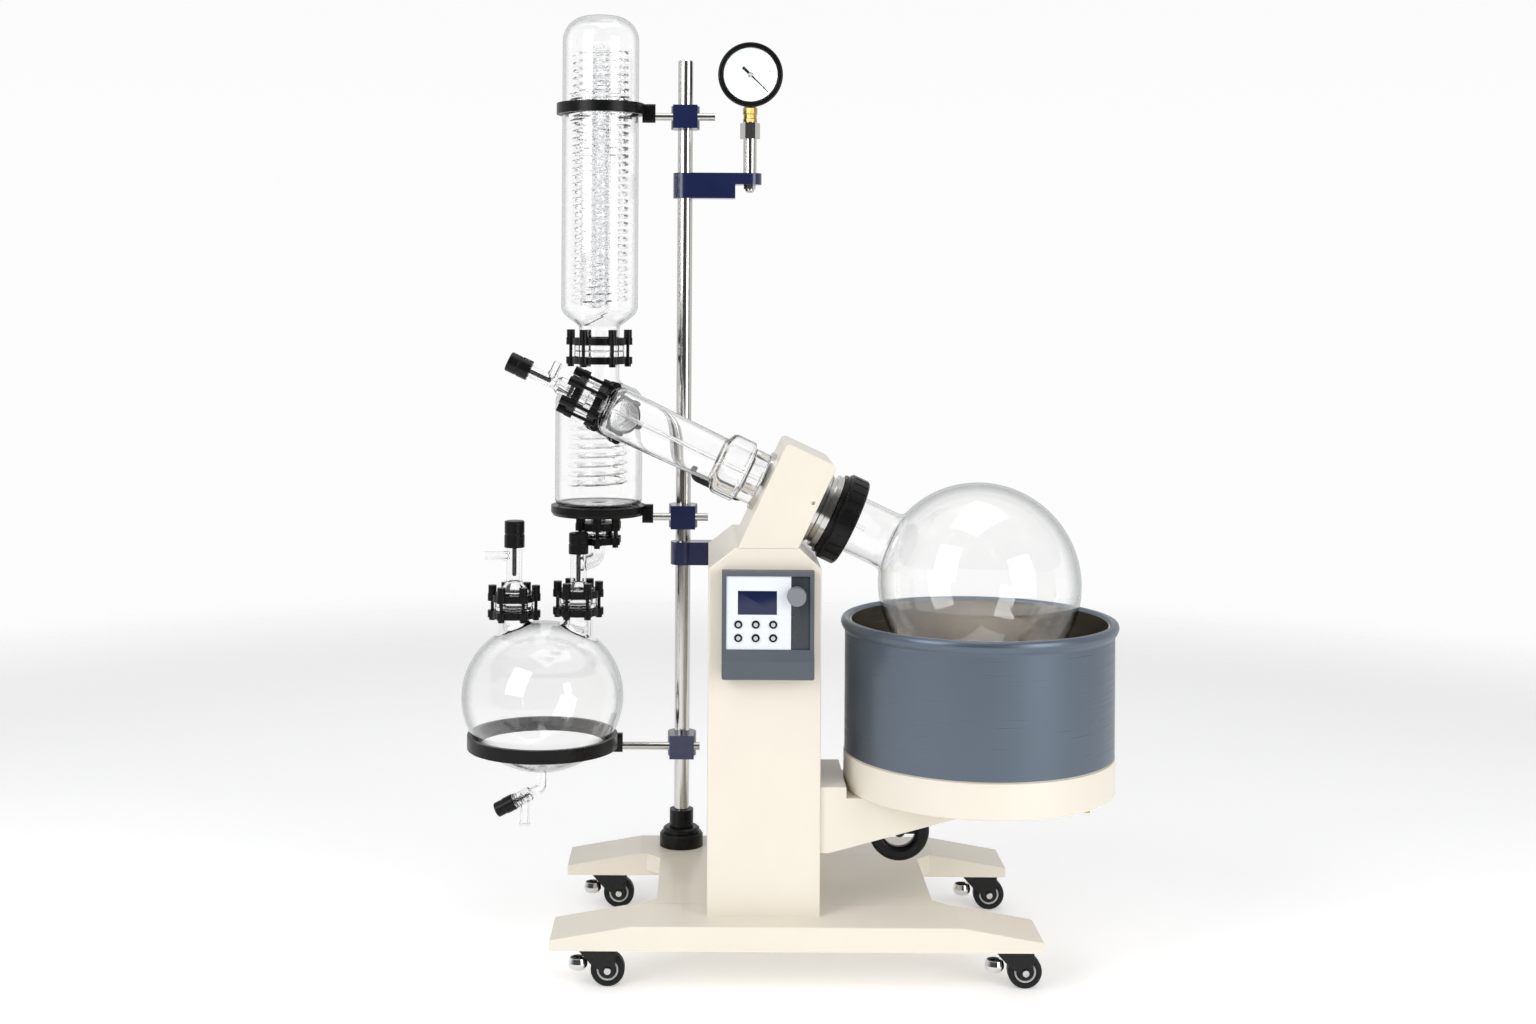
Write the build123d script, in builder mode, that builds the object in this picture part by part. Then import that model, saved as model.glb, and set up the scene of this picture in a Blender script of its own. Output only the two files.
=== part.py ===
from build123d import *
import math
import os

os.makedirs("parts", exist_ok=True)

# Twenty-litre rotary evaporator on casters. X points right, Y away from the
# operator, Z up, with the origin on the floor under the middle of the machine.
# All sizes are in millimetres and degrees.

# Clearances
run_gap = 0.05
pass_gap = 0.3
slide_gap = 0.5
seal_gap = 0.6

# Casters
caster_height = 75
caster_left_inset = 72
caster_right_inset = 43
plate_length = 66
plate_width = 60
plate_thick = 4
race_radius = 22
race_height = 4
kingpin_radius = 5
kingpin_nut_radius = 8
kingpin_nut_height = 4.2
crown_thick = 4
cheek_thick = 3
axle_radius = 4
axle_head_radius = 6
axle_head_height = 2.5
wheel_radius = 28
wheel_width = 22
wheel_offset = 20
hub_radius = 19
hub_boss_radius = 9
hub_boss_width = 25.4
pedal_pivot_x = -15
pedal_pivot_z = 54
pedal_pin_radius = 2
pedal_hub_radius = 4.5
pedal_cup_x = -29
pedal_cup_z = 37
pedal_cup_radius = 16
pedal_cup_depth = 12.5
pedal_cup_rim = 8
pedal_cup_wall = 2
pedal_cup_bend = 11
pedal_arm_width = 10

# Base
beam_length = 800
beam_x = 25
beam_width = 118
beam_height = 40
beam_tip_height = 17
beam_taper = 132
beam_edge = 2
beam_wall = 5
front_beam_y = -176
rear_beam_y = 226
deck_x = 27.5
deck_width = 465
deck_height = 30
deck_flare = 26
base_top = caster_height + beam_height

# Column
column_x = -28
column_width = 186
column_front = -182
column_depth = 317
column_top = 720
column_shoulder = 686
column_top_left = -78
column_top_right = 28.5
column_wall = 3
column_edge = 2.5
cover_thick = 3
louvre_length = 60
louvre_height = 5
louvre_pitch = 14
louvre_rows = 7
louvre_z = 560
cover_screw_radius = 2.5
gland_radius = 11
gland_length = 18
gland_z = 170

# Rotor axis, tilted so that the flask hangs into the bath
tilt = 25
flask_x = 338
rotor_y = -80
flask_z = 648.5

# Head housing, measured along the rotor axis from the middle of the flask
head_start = 312
head_end = 403
head_depth = 204
head_rise = 82
head_wall = 6
head_corner = 9
head_edge = 2.5
grub_hole_radius = 3
grub_hole_depth = 5
grub_hole_start = 322
grub_hole_rise = 10.8

# Rotor and its drive
bearing_radius = 50
front_bearing_width = 18
rear_bearing_width = 16
shaft_radius = 36
shaft_bore = 28
shaft_end = 409
flange_radius = 65
flange_start = 281
flange_end = 292
shoulder_radius = 58
shoulder_end = 299.7
front_seal_radius = 62
rear_seal_radius = 52
rear_seal_length = 9
pulley_radius = 48
pulley_start = 341
pulley_width = 34
pulley_rim = 3
belt_width = 30
belt_thick = 3
drive_distance = 150
motor_pulley_radius = 20
motor_shaft_radius = 6
motor_radius = 35
motor_length = 56
motor_plate_thick = 5
motor_plate_height = 80
motor_plate_width = 160
collar_radius = 76
collar_length = 33
collar_start = 240
collar_step_radius = 70
collar_lip = 1

# Glass
glass_wall = 4
flask_radius = 171
flask_neck_radius = 49
flask_rim_radius = 56.5
flask_rim_length = 15
flask_rim_cone = 8
duct_flange_radius = 45.5
duct_flange_length = 28
duct_bell_radius = 54
duct_bell_length = 42
duct_start_radius = 40
duct_end_radius = 44
duct_end = 700
nozzle_radius = 22
nozzle_start = 330
feed_tube_radius = 3.5
feed_tube_start = 215
valve_tube_radius = 10.5
valve_neck_radius = 15
valve_neck_end = 788
feed_tube_end = 862
feed_nipple_place = 805
feed_nipple_length = 34
nipple_radius = 7.5
nipple_bore = 4
nipple_foot = 5
nipple_step = 1.2
vessel_x = -324
vessel_y = 199
vessel_radius = 80
vessel_bottom = 748
vessel_shoulder = 956
vessel_neck_radius = 37
branch_place = 660
branch_radius = 31
condenser_radius = 70.5
condenser_shoulder = 1076
condenser_top = 1647
condenser_dome = 46
coolant_reach = 22
coolant_radius = 6
coil_wire = 9
coil_pitch = 16.7
coil_radius = 56
coil_bottom = 1112
coil_turns = 28
coil_leg_radius = 4
inner_coil_radius = 17
inner_coil_bottom = 1100
inner_coil_top = 1600
vessel_coil_radius = 56
vessel_coil_bottom = 778
vessel_coil_turns = 8
vessel_coil_pitch = 17
receiver_x = -420.4
receiver_y = 148
receiver_z = 405.7
receiver_radius = 146.7
receiver_half_height = 134.9
receiver_bend = 130
receiver_neck_radius = 27
vent_x = -473.1
inlet_x = -356.7
bend_radius = 13
vent_tube_radius = 14
inlet_tube_radius = 14.5
vent_nipple_z = 659.5
vent_nipple_length = 54
drain_neck_radius = 12
drain_barrel_radius = 11
drain_turn_z = 239.5
drain_angle = 27
drain_barrel_length = 56
drain_outlet_place = 35
drain_outlet_radius = 9.5
drain_outlet_z = 171
drain_outlet_free = 34

# Screw caps of the four valves
stem_radius = 4
cap_thread_length = 20
feed_cap_radius = 17.5
feed_cap_start = 843
feed_cap_length = 40
inlet_cap_radius = 18
inlet_cap_z = 664.5
inlet_cap_length = 38
vent_cap_radius = 18.5
vent_cap_z = 675.5
vent_cap_length = 48
drain_knob_radius = 14.5
drain_knob_length = 37
drain_nose_radius = 8
drain_nose_length = 10

# Clamp pairs on the glass joints: distance between the rings, neck, flange,
# body and outer radius, each pair with the same ring thickness and bolts
clamp_ring_thick = 13
clamp_lobes = 6
clamp_lobe_radius = 8.5
clamp_cap_radius = 7.5
clamp_cap_height = 15
clamp_bolt_radius = 3
clamp_nut_radius = 6
clamp_nut_height = 5
condenser_joint_z = 1031.5
condenser_joint = dict(pitch=35, neck=vessel_neck_radius, flange=46, body=51, outer=61)
outlet_joint_z = 696
outlet_joint = dict(pitch=26, neck=bend_radius, flange=30, body=36, outer=46)
vent_joint_z = 570
vent_joint = dict(pitch=30, neck=receiver_neck_radius, flange=35, body=40, outer=48)
inlet_joint_z = 577
inlet_joint = dict(pitch=32, neck=receiver_neck_radius, flange=34, body=39, outer=46)
duct_joint_place = 734.5
duct_joint = dict(pitch=37, neck=20, flange=29, body=34, outer=43)
branch_joint_place = 125
branch_joint = dict(pitch=32, neck=branch_radius, flange=40, body=45, outer=54)

# Stand: pole, cross rods, blue clamps, black support rings
pole_x = -168
pole_y = rear_beam_y
pole_radius = 14
pole_top = 1570
foot_radius = 40
foot_height = 25
foot_step_radius = 33.5
foot_step_height = 10
foot_sleeve_radius = 22
foot_sleeve_height = 32
rod_radius = 7
rod_y = 200
clamp_barrel_radius = 26.5
clamp_barrel_height = 43
clamp_front = 185
condenser_ring_z = 1466
condenser_ring_height = 20
condenser_ring_radius = 81
condenser_rod_z = 1463
condenser_rod_end = -113
vessel_ring_height = 18
vessel_ring_radius = 87
vessel_ring_bore = 62
vessel_rod_z = 726
vessel_rod_end = -122
receiver_ring_z = 314
receiver_ring_height = 24
receiver_ring_radius = 136
receiver_ring_bore = 118
receiver_rod_z = 304
receiver_rod_end = -135
lug_length = 22
lug_width = 18
lug_height = 34
pole_bracket_z = 636
pole_bracket_height = 42
pole_bracket_width = 40
pole_bracket_right = -50
gauge_x = -48
gauge_plate_z = 1340
gauge_plate_height = 21
gauge_block_z = 1314
gauge_block_right = -75
gauge_bracket_width = 44
gauge_z = 1543
gauge_radius = 60
gauge_body_radius = 56
gauge_front = 205
gauge_depth = 44
bezel_depth = 14
dial_radius = 50
dial_recess = 7
needle_length = 46
needle_tail = 20
needle_rest = -44
needle_thick = 1.2
needle_hub_radius = 5
needle_pin_radius = 1.5
stem_tube_radius = 12.5
coupling_z = 1425
coupling_across = 32
coupling_height = 30
fitting_radius = 11.5
acorn_across = 19

# Black drain hose under the duct
hose_radius = 5
hose_turn = -38
hose_start = 516
hose_end = 424
hose_reach = 61
hose_bend = 12

# Water bath on its lifting arm
bath_radius = 226.5
bath_wall = 2
bath_bottom = 369
bath_rim_z = 574
bath_rim_height = 17
bath_rim_radius = 233.5
tub_radius = 217.5
tub_wall = 1.8
tub_bottom = 383
tub_corner = 14
pan_radius = 228
pan_bottom = 308
pan_top = 367
pan_spigot_wall = 18
pan_floor = 5
pan_edge = 3
heater_radii = (165, 90)
heater_tube = 5
nipple_x = 502
nipple_y = -180
brass_radius = 6.2
brass_length = 19
brass_bore = 4
brass_flange_radius = 11
brass_flange_height = 3.5
arm_width = 190
arm_root_top = 326
arm_root_bottom = 218
arm_step_x = 108
arm_flat_x = 80
arm_tip_x = 395
arm_tip_height = 4
arm_wall = 5
arm_pocket_start = 84
arm_pocket_end = 376
carriage_width = 124
carriage_bottom = 222
carriage_top = 322
carriage_left = 8
carriage_right = 56
tongue_width = 50
tongue_bottom = 238
tongue_top = 306
lift_up = 80
lift_down = 60
guide_radius = 9
guide_spacing = 84
screw_radius = 10
guide_top = 482
guide_block_height = 12
guide_block_width = 140
wheel_hub_x = 204
wheel_hub_z = 231
handwheel_radius = 51.5
handwheel_inner = 28
handwheel_width = 23
handwheel_hub = 10
handwheel_shaft = 6
spoke_width = 11
spoke_height = 12
hanger_thick = 12
hanger_radius = 12

# Control box on the front of the column
box_left = -99
box_right = 52
box_bottom = 509.5
box_top = 685
box_depth = 22
chin_depth = 33
chin_top = 556
chin_edge = 540
recess_left = -92
recess_right = 45
recess_bottom = 557
recess_top = 677
recess_depth = 4
face_right = 14
face_thick = 2
window_left = -73
window_right = -9
window_bottom = 614
window_top = 653
button_radius = 6.4
button_columns = (-72, -43.5, -15)
button_rows = (598, 576)
button_rise = 2.2
button_travel = 1.5
button_flange = 1.4
knob_x = 23
knob_z = 645
knob_radius = 16
knob_height = 17
knob_shaft = 3


def front_plane(y):
    # Faces the operator, with X to the right and Z up.
    return Plane.XZ.offset(-y)


def along(start, direction, distance):
    return tuple(a + b * distance for a, b in zip(start, direction))


def add_vectors(first, second):
    return tuple(a + b for a, b in zip(first, second))


# Directions of the rotor axis: up the axis to the left, and square to it upwards.
tilt_cos = math.cos(math.radians(tilt))
tilt_sin = math.sin(math.radians(tilt))
axis_up = (-tilt_cos, 0, tilt_sin)
axis_rise = (tilt_sin, 0, tilt_cos)
flask_center = (flask_x, rotor_y, flask_z)
rotor_axis = Axis(flask_center, axis_up)
rotor_side = Plane(origin=flask_center, x_dir=axis_up, z_dir=(0, 1, 0))


def rotor_point(place, rise=0):
    return add_vectors(along(flask_center, axis_up, place), along((0, 0, 0), axis_rise, rise))


def rotor_plane(place, rise=0):
    # Square to the rotor axis, with the operator's side to the right and the rise up.
    return Plane(origin=rotor_point(place, rise), x_dir=(0, -1, 0), z_dir=axis_up)


def place_at_height(height, rise):
    # Place along the rotor axis where a line at this rise reaches a height.
    return (height - flask_z - rise * tilt_cos) / tilt_sin


def rise_at_height(height, place):
    return (height - flask_z - place * tilt_sin) / tilt_cos


caster_left_x = beam_x - beam_length / 2 + caster_left_inset
caster_right_x = beam_x + beam_length / 2 - caster_right_inset
casters = {
    "front_left": (caster_left_x, front_beam_y),
    "front_right": (caster_right_x, front_beam_y),
    "rear_left": (caster_left_x, rear_beam_y),
    "rear_right": (caster_right_x, rear_beam_y),
}
race_bottom = caster_height - plate_thick - race_height
crown_top = race_bottom - pass_gap
crown_bottom = crown_top - crown_thick
nut_top = crown_bottom - pass_gap
cheek_inner = hub_boss_width / 2 + pass_gap
cheek_outer = cheek_inner + cheek_thick

# Two tapered beams of the base.
beam_points = [
    (beam_x - beam_length / 2, caster_height),
    (beam_x + beam_length / 2, caster_height),
    (beam_x + beam_length / 2, caster_height + beam_tip_height),
    (beam_x + beam_length / 2 - beam_taper, base_top),
    (beam_x - beam_length / 2 + beam_taper, base_top),
    (beam_x - beam_length / 2, caster_height + beam_tip_height),
]
with BuildPart() as base_beams:
    for beam_y in (front_beam_y, rear_beam_y):
        with BuildSketch(front_plane(beam_y)):
            Polygon(*beam_points, align=None)
        extrude(amount=beam_width / 2, both=True)
    fillet(base_beams.edges().group_by(Axis.Z)[1:], beam_edge)
    for beam_y in (front_beam_y, rear_beam_y):
        with BuildSketch(Plane.XY.offset(caster_height)):
            with Locations(((caster_left_x + caster_right_x) / 2, beam_y)):
                Rectangle(
                    caster_right_x - caster_left_x - plate_length - 2 * beam_wall,
                    beam_width - 2 * beam_wall,
                )
        extrude(amount=beam_height - 2 * beam_wall, mode=Mode.SUBTRACT)
base_beams.part.label = "base_beams"
export_step(base_beams.part, "parts/base_beams.step")

# Deck between the beams, flared where it meets them.
deck_left = deck_x - deck_width / 2
deck_right = deck_x + deck_width / 2
deck_front = front_beam_y + beam_width / 2
deck_back = rear_beam_y - beam_width / 2
deck_points = [
    (deck_left - deck_flare, deck_front),
    (deck_right + deck_flare, deck_front),
    (deck_right, deck_front + deck_flare),
    (deck_right, deck_back - deck_flare),
    (deck_right + deck_flare, deck_back),
    (deck_left - deck_flare, deck_back),
    (deck_left, deck_back - deck_flare),
    (deck_left, deck_front + deck_flare),
]
with BuildPart() as base_deck:
    with BuildSketch(Plane.XY.offset(base_top)):
        Polygon(*deck_points, align=None)
    extrude(amount=-deck_height)
    with BuildSketch(Plane.XY.offset(base_top - beam_wall)):
        with Locations((deck_x, (deck_front + deck_back) / 2)):
            Rectangle(deck_width - 2 * beam_wall, deck_back - deck_front - 2 * beam_wall)
    extrude(amount=-deck_height, mode=Mode.SUBTRACT)
base_deck.part.label = "base_deck"
export_step(base_deck.part, "parts/base_deck.step")

# Top plates of the casters, each with its swivel race, kingpin and nut.
with BuildPart() as caster_plates:
    with BuildSketch(Plane.XY.offset(caster_height)):
        with Locations(*casters.values()):
            RectangleRounded(plate_length, plate_width, 6)
    extrude(amount=-plate_thick)
    with BuildSketch(Plane.XY.offset(caster_height - plate_thick)):
        with Locations(*casters.values()):
            Circle(race_radius)
    extrude(amount=-race_height)
    with BuildSketch(Plane.XY.offset(race_bottom)):
        with Locations(*casters.values()):
            Circle(kingpin_radius)
    extrude(amount=nut_top - race_bottom)
    with BuildSketch(Plane.XY.offset(nut_top)):
        with Locations(*casters.values()):
            Circle(kingpin_nut_radius)
    extrude(amount=-kingpin_nut_height)
caster_plates.part.label = "caster_plates"
export_step(caster_plates.part, "parts/caster_plates.step")

cup_top = pedal_cup_z + pedal_cup_rim
cup_rim_radius = pedal_cup_radius * math.sqrt(1 - (pedal_cup_rim / (pedal_cup_depth * 1.3)) ** 2)
for corner, (x, y) in casters.items():
    axle_x = x + wheel_offset
    fork_side = Plane(origin=(x, y, 0), x_dir=(1, 0, 0), z_dir=(0, -1, 0))
    cheek_points = [
        (-plate_length / 2, crown_top),
        (plate_length / 2 + 1, crown_top),
        (plate_length / 2 + 1, crown_bottom - 10),
        (wheel_offset + hub_boss_radius + 3, wheel_radius),
        (wheel_offset, wheel_radius - hub_boss_radius - 3),
        (wheel_offset - hub_boss_radius - 3, wheel_radius),
        (-7, wheel_radius + 10),
    ]
    # Fork: crown, two cheeks, axle bolt and the pedal's pin.
    with BuildPart() as fork:
        for side in (cheek_inner, -cheek_outer):
            with BuildSketch(fork_side.offset(side)):
                Polygon(*cheek_points, align=None)
                with Locations((wheel_offset, wheel_radius)):
                    Circle(hub_boss_radius + 3)
            extrude(amount=cheek_thick)
        with BuildSketch(Plane.XY.offset(crown_top)):
            with Locations((x + 0.5, y)):
                Rectangle(plate_length + 1, 2 * cheek_outer)
        extrude(amount=-crown_thick)
        with BuildSketch(fork_side.offset(-cheek_outer)):
            with Locations((wheel_offset, wheel_radius)):
                Circle(axle_radius)
            with Locations((pedal_pivot_x, pedal_pivot_z)):
                Circle(pedal_pin_radius)
        extrude(amount=2 * cheek_outer)
        for side in (cheek_outer, -cheek_outer - axle_head_height):
            with BuildSketch(fork_side.offset(side)):
                with Locations((wheel_offset, wheel_radius)):
                    Circle(axle_head_radius)
            extrude(amount=axle_head_height)
        with BuildSketch(Plane.XY.offset(crown_top)):
            with Locations((x, y)):
                Circle(kingpin_radius + run_gap)
        extrude(amount=-crown_thick, mode=Mode.SUBTRACT)
    fork.part.label = f"{corner}_fork"
    export_step(fork.part, f"parts/{corner}_fork.step")

    # Wheel with a rounded tread, a dished hub and a bore for the axle.
    tread = wheel_width / 2
    wheel_side = Plane(origin=(axle_x, y, wheel_radius), x_dir=(0, 1, 0), z_dir=(1, 0, 0))
    with BuildPart() as wheel:
        with BuildSketch(wheel_side) as section:
            Polygon(
                (-hub_boss_width / 2, axle_radius + run_gap),
                (-hub_boss_width / 2, hub_boss_radius),
                (-tread + 2.5, hub_boss_radius + 1),
                (-tread + 2.5, hub_radius - 1),
                (-tread, hub_radius),
                (-tread, wheel_radius),
                (tread, wheel_radius),
                (tread, hub_radius),
                (tread - 2.5, hub_radius - 1),
                (tread - 2.5, hub_boss_radius + 1),
                (hub_boss_width / 2, hub_boss_radius),
                (hub_boss_width / 2, axle_radius + run_gap),
                align=None,
            )
            fillet(section.vertices().group_by(Axis.Y)[-1], 4)
        revolve(axis=Axis((axle_x, y, wheel_radius), (0, 1, 0)))
    wheel.part.label = f"{corner}_wheel"
    export_step(wheel.part, f"parts/{corner}_wheel.step")

    # Brake pedal: a hub on the fork's pin, an arm and a dished foot plate.
    cup_x = x + pedal_cup_x
    cup_side = Plane(origin=(cup_x, y, 0), x_dir=(1, 0, 0), z_dir=(0, -1, 0))
    arm_points = [
        (pedal_pivot_x - 1, pedal_pivot_z + pedal_hub_radius),
        (pedal_pivot_x + 2, pedal_pivot_z - pedal_hub_radius + 1),
        (pedal_cup_x + 4, pedal_cup_z - pedal_cup_depth + 2),
        (pedal_cup_x - 2, pedal_cup_z - pedal_cup_depth + 2),
    ]
    with BuildPart() as pedal:
        with BuildSketch(cup_side) as section:
            Polygon(
                (0, pedal_cup_z - pedal_cup_depth),
                (pedal_cup_radius, pedal_cup_z - pedal_cup_depth),
                (pedal_cup_radius, pedal_cup_z),
                (cup_rim_radius, cup_top),
                (cup_rim_radius - pedal_cup_wall, cup_top),
                (pedal_cup_radius - pedal_cup_wall, pedal_cup_z),
                (pedal_cup_radius - pedal_cup_wall, pedal_cup_z - pedal_cup_depth + pedal_cup_wall),
                (0, pedal_cup_z - pedal_cup_depth + pedal_cup_wall),
                align=None,
            )
            outer_corner = (pedal_cup_radius, pedal_cup_z - pedal_cup_depth)
            inner_corner = (
                pedal_cup_radius - pedal_cup_wall,
                pedal_cup_z - pedal_cup_depth + pedal_cup_wall,
            )
            fillet(section.vertices().sort_by_distance(outer_corner)[0], pedal_cup_bend)
            fillet(
                section.vertices().sort_by_distance(inner_corner)[0],
                pedal_cup_bend - pedal_cup_wall,
            )
        revolve(axis=Axis((cup_x, y, 0), (0, 0, 1)))
        with BuildSketch(fork_side):
            Polygon(*arm_points, align=None)
        extrude(amount=pedal_arm_width / 2, both=True)
        with BuildSketch(fork_side):
            with Locations((pedal_pivot_x, pedal_pivot_z)):
                Circle(pedal_hub_radius)
        extrude(amount=cheek_inner - pass_gap, both=True)
        with BuildSketch(fork_side):
            with Locations((pedal_pivot_x, pedal_pivot_z)):
                Circle(pedal_pin_radius + run_gap)
        extrude(amount=cheek_inner, both=True, mode=Mode.SUBTRACT)
    pedal.part.label = f"{corner}_pedal"
    export_step(pedal.part, f"parts/{corner}_pedal.step")

# Column casing: folded sheet, open at the back, with a slot for the lift.
column_left = column_x - column_width / 2
column_right = column_x + column_width / 2
column_back = column_front + column_depth
cover_back = column_back + cover_thick
column_points = [
    (column_left, base_top),
    (column_right, base_top),
    (column_right, column_shoulder),
    (column_top_right, column_top),
    (column_top_left, column_top),
    (column_left, column_shoulder),
]
belt_hole_left = rotor_point(pulley_start + pulley_width, -drive_distance / 2)[0] - 18
belt_hole_right = rotor_point(pulley_start, -drive_distance / 2)[0] + 8
with BuildPart() as column_casing:
    with BuildSketch(front_plane(column_front)):
        Polygon(*column_points, align=None)
    extrude(amount=-column_depth)
    fillet(column_casing.edges().group_by(Axis.Y)[0].group_by(Axis.Z)[1:], column_edge)
    with BuildSketch(front_plane(column_front + column_wall)):
        Polygon(*column_points, align=None)
        offset(amount=-column_wall)
    extrude(amount=-column_depth, mode=Mode.SUBTRACT)
    with BuildSketch(Plane.XY.offset(column_top)):
        with Locations(((belt_hole_left + belt_hole_right) / 2, rotor_y)):
            Rectangle(belt_hole_right - belt_hole_left, 2 * pulley_radius + 24)
    extrude(amount=-2 * column_wall, mode=Mode.SUBTRACT)
    with BuildSketch(Plane.YZ.offset(column_right)):
        with Locations((rotor_y, (tongue_bottom + tongue_top + lift_up - lift_down) / 2)):
            Rectangle(
                tongue_width + 2 * slide_gap,
                tongue_top - tongue_bottom + lift_up + lift_down + 4,
            )
    extrude(amount=-2 * column_wall, mode=Mode.SUBTRACT)
column_casing.part.label = "column_casing"
export_step(column_casing.part, "parts/column_casing.step")

# Rear cover with louvres, screw holes and the gland of the supply cord.
with BuildPart() as rear_cover:
    with BuildSketch(front_plane(column_back)):
        Polygon(*column_points, align=None)
        with Locations((column_x, louvre_z)):
            with GridLocations(louvre_length + 16, louvre_pitch, 2, louvre_rows):
                SlotOverall(louvre_length, louvre_height, mode=Mode.SUBTRACT)
        with Locations((column_x, (base_top + column_shoulder) / 2)):
            with GridLocations(column_width - 12, column_shoulder - base_top - 20, 2, 3):
                Circle(cover_screw_radius, mode=Mode.SUBTRACT)
    extrude(amount=-cover_thick)
    with BuildSketch(front_plane(cover_back)):
        with Locations((column_x, gland_z)):
            RegularPolygon(gland_radius, 6)
    extrude(amount=-gland_length)
    with BuildSketch(front_plane(column_back)):
        with Locations((column_x, gland_z)):
            Circle(gland_radius / 2)
    extrude(amount=-gland_length - cover_thick, mode=Mode.SUBTRACT)
rear_cover.part.label = "rear_cover"
export_step(rear_cover.part, "parts/rear_cover.step")

# Head housing: a tilted box that stands on the column and holds both bearings.
head_points = [
    (head_start, rise_at_height(column_top, head_start)),
    (head_start, head_rise),
    (head_end, head_rise),
    (head_end, rise_at_height(column_top, head_end)),
]
cavity_start = head_start + front_bearing_width
cavity_end = head_end - rear_bearing_width
cavity_points = [
    (cavity_start, rise_at_height(column_top - 20, cavity_start)),
    (cavity_start, head_rise - head_wall),
    (cavity_end, head_rise - head_wall),
    (cavity_end, rise_at_height(column_top - 20, cavity_end)),
]
with BuildPart() as head_housing:
    with BuildSketch(rotor_side.offset(column_front - rotor_y)) as outline:
        Polygon(*head_points, align=None)
        fillet(outline.vertices().group_by(Axis.Y)[-1], head_corner)
    extrude(amount=head_depth)
    top_loop = head_housing.faces().sort_by(Axis.Y)[0].edges().group_by(Axis.Z)[1:]
    fillet(top_loop, head_edge)
    with BuildSketch(rotor_side.offset(column_front + head_wall - rotor_y)):
        Polygon(*cavity_points, align=None)
    extrude(amount=head_depth - 2 * head_wall, mode=Mode.SUBTRACT)
    with BuildSketch(rotor_plane(head_start)):
        Circle(bearing_radius)
    extrude(amount=head_end - head_start, mode=Mode.SUBTRACT)
    with BuildSketch(rotor_side.offset(column_front - rotor_y)):
        with Locations((grub_hole_start, grub_hole_rise)):
            Circle(grub_hole_radius)
    extrude(amount=grub_hole_depth, mode=Mode.SUBTRACT)
head_housing.part.label = "head_housing"
export_step(head_housing.part, "parts/head_housing.step")

# Static rings on the rotor axis: both bearings, and a seal ring at each face.
seal_bore = shaft_radius + pass_gap
bearing_bore = shaft_radius + run_gap
front_seal_start = shoulder_end + pass_gap
rear_seal_end = head_end + rear_seal_length
with BuildPart() as bearings_and_seals:
    with BuildSketch(rotor_side):
        Polygon(
            (front_seal_start, seal_bore),
            (front_seal_start, front_seal_radius - 2),
            (front_seal_start + 2, front_seal_radius),
            (head_start, front_seal_radius),
            (head_start, bearing_radius),
            (cavity_start, bearing_radius),
            (cavity_start, bearing_bore),
            (head_start, bearing_bore),
            (head_start, seal_bore),
            align=None,
        )
        Polygon(
            (cavity_end, bearing_bore),
            (cavity_end, bearing_radius),
            (head_end, bearing_radius),
            (head_end, rear_seal_radius),
            (rear_seal_end - 1.5, rear_seal_radius),
            (rear_seal_end, rear_seal_radius - 1.5),
            (rear_seal_end, seal_bore),
            (head_end, seal_bore),
            (head_end, bearing_bore),
            align=None,
        )
    revolve(axis=rotor_axis)
bearings_and_seals.part.label = "bearings_and_seals"
export_step(bearings_and_seals.part, "parts/bearings_and_seals.step")

# Hollow rotor shaft with the flask's flange and the driven pulley.
pulley_end = pulley_start + pulley_width
with BuildPart() as rotor_shaft:
    with BuildSketch(rotor_side):
        Polygon(
            (flange_start, shaft_bore),
            (flange_start, flange_radius - 1.5),
            (flange_start + 1.5, flange_radius),
            (flange_end, flange_radius),
            (flange_end, shoulder_radius),
            (shoulder_end, shoulder_radius),
            (shoulder_end, shaft_radius),
            (pulley_start - pulley_rim, shaft_radius),
            (pulley_start - pulley_rim, pulley_radius + pulley_rim),
            (pulley_start, pulley_radius + pulley_rim),
            (pulley_start, pulley_radius),
            (pulley_end, pulley_radius),
            (pulley_end, pulley_radius + pulley_rim),
            (pulley_end + pulley_rim, pulley_radius + pulley_rim),
            (pulley_end + pulley_rim, shaft_radius),
            (shaft_end, shaft_radius),
            (shaft_end, shaft_bore),
            align=None,
        )
    revolve(axis=rotor_axis)
rotor_shaft.part.label = "rotor_shaft"
export_step(rotor_shaft.part, "parts/rotor_shaft.step")

# Motor pulley and motor shaft, on an axis beside the rotor's.
motor_axis = Axis(rotor_point(0, -drive_distance), axis_up)
motor_side = Plane(origin=rotor_point(0, -drive_distance), x_dir=axis_up, z_dir=(0, 1, 0))
motor_plate_end = pulley_start - pulley_rim - 2
motor_plate_start = motor_plate_end - motor_plate_thick
motor_start = motor_plate_start - motor_length
shaft_tip = motor_plate_start - 12
with BuildPart() as motor_pulley:
    with BuildSketch(motor_side):
        Polygon(
            (shaft_tip, 0),
            (shaft_tip, motor_shaft_radius),
            (pulley_start - pulley_rim, motor_shaft_radius),
            (pulley_start - pulley_rim, motor_pulley_radius + pulley_rim),
            (pulley_start, motor_pulley_radius + pulley_rim),
            (pulley_start, motor_pulley_radius),
            (pulley_end, motor_pulley_radius),
            (pulley_end, motor_pulley_radius + pulley_rim),
            (pulley_end + pulley_rim, motor_pulley_radius + pulley_rim),
            (pulley_end + pulley_rim, 0),
            align=None,
        )
    revolve(axis=motor_axis)
motor_pulley.part.label = "motor_pulley"
export_step(motor_pulley.part, "parts/motor_pulley.step")

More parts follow.
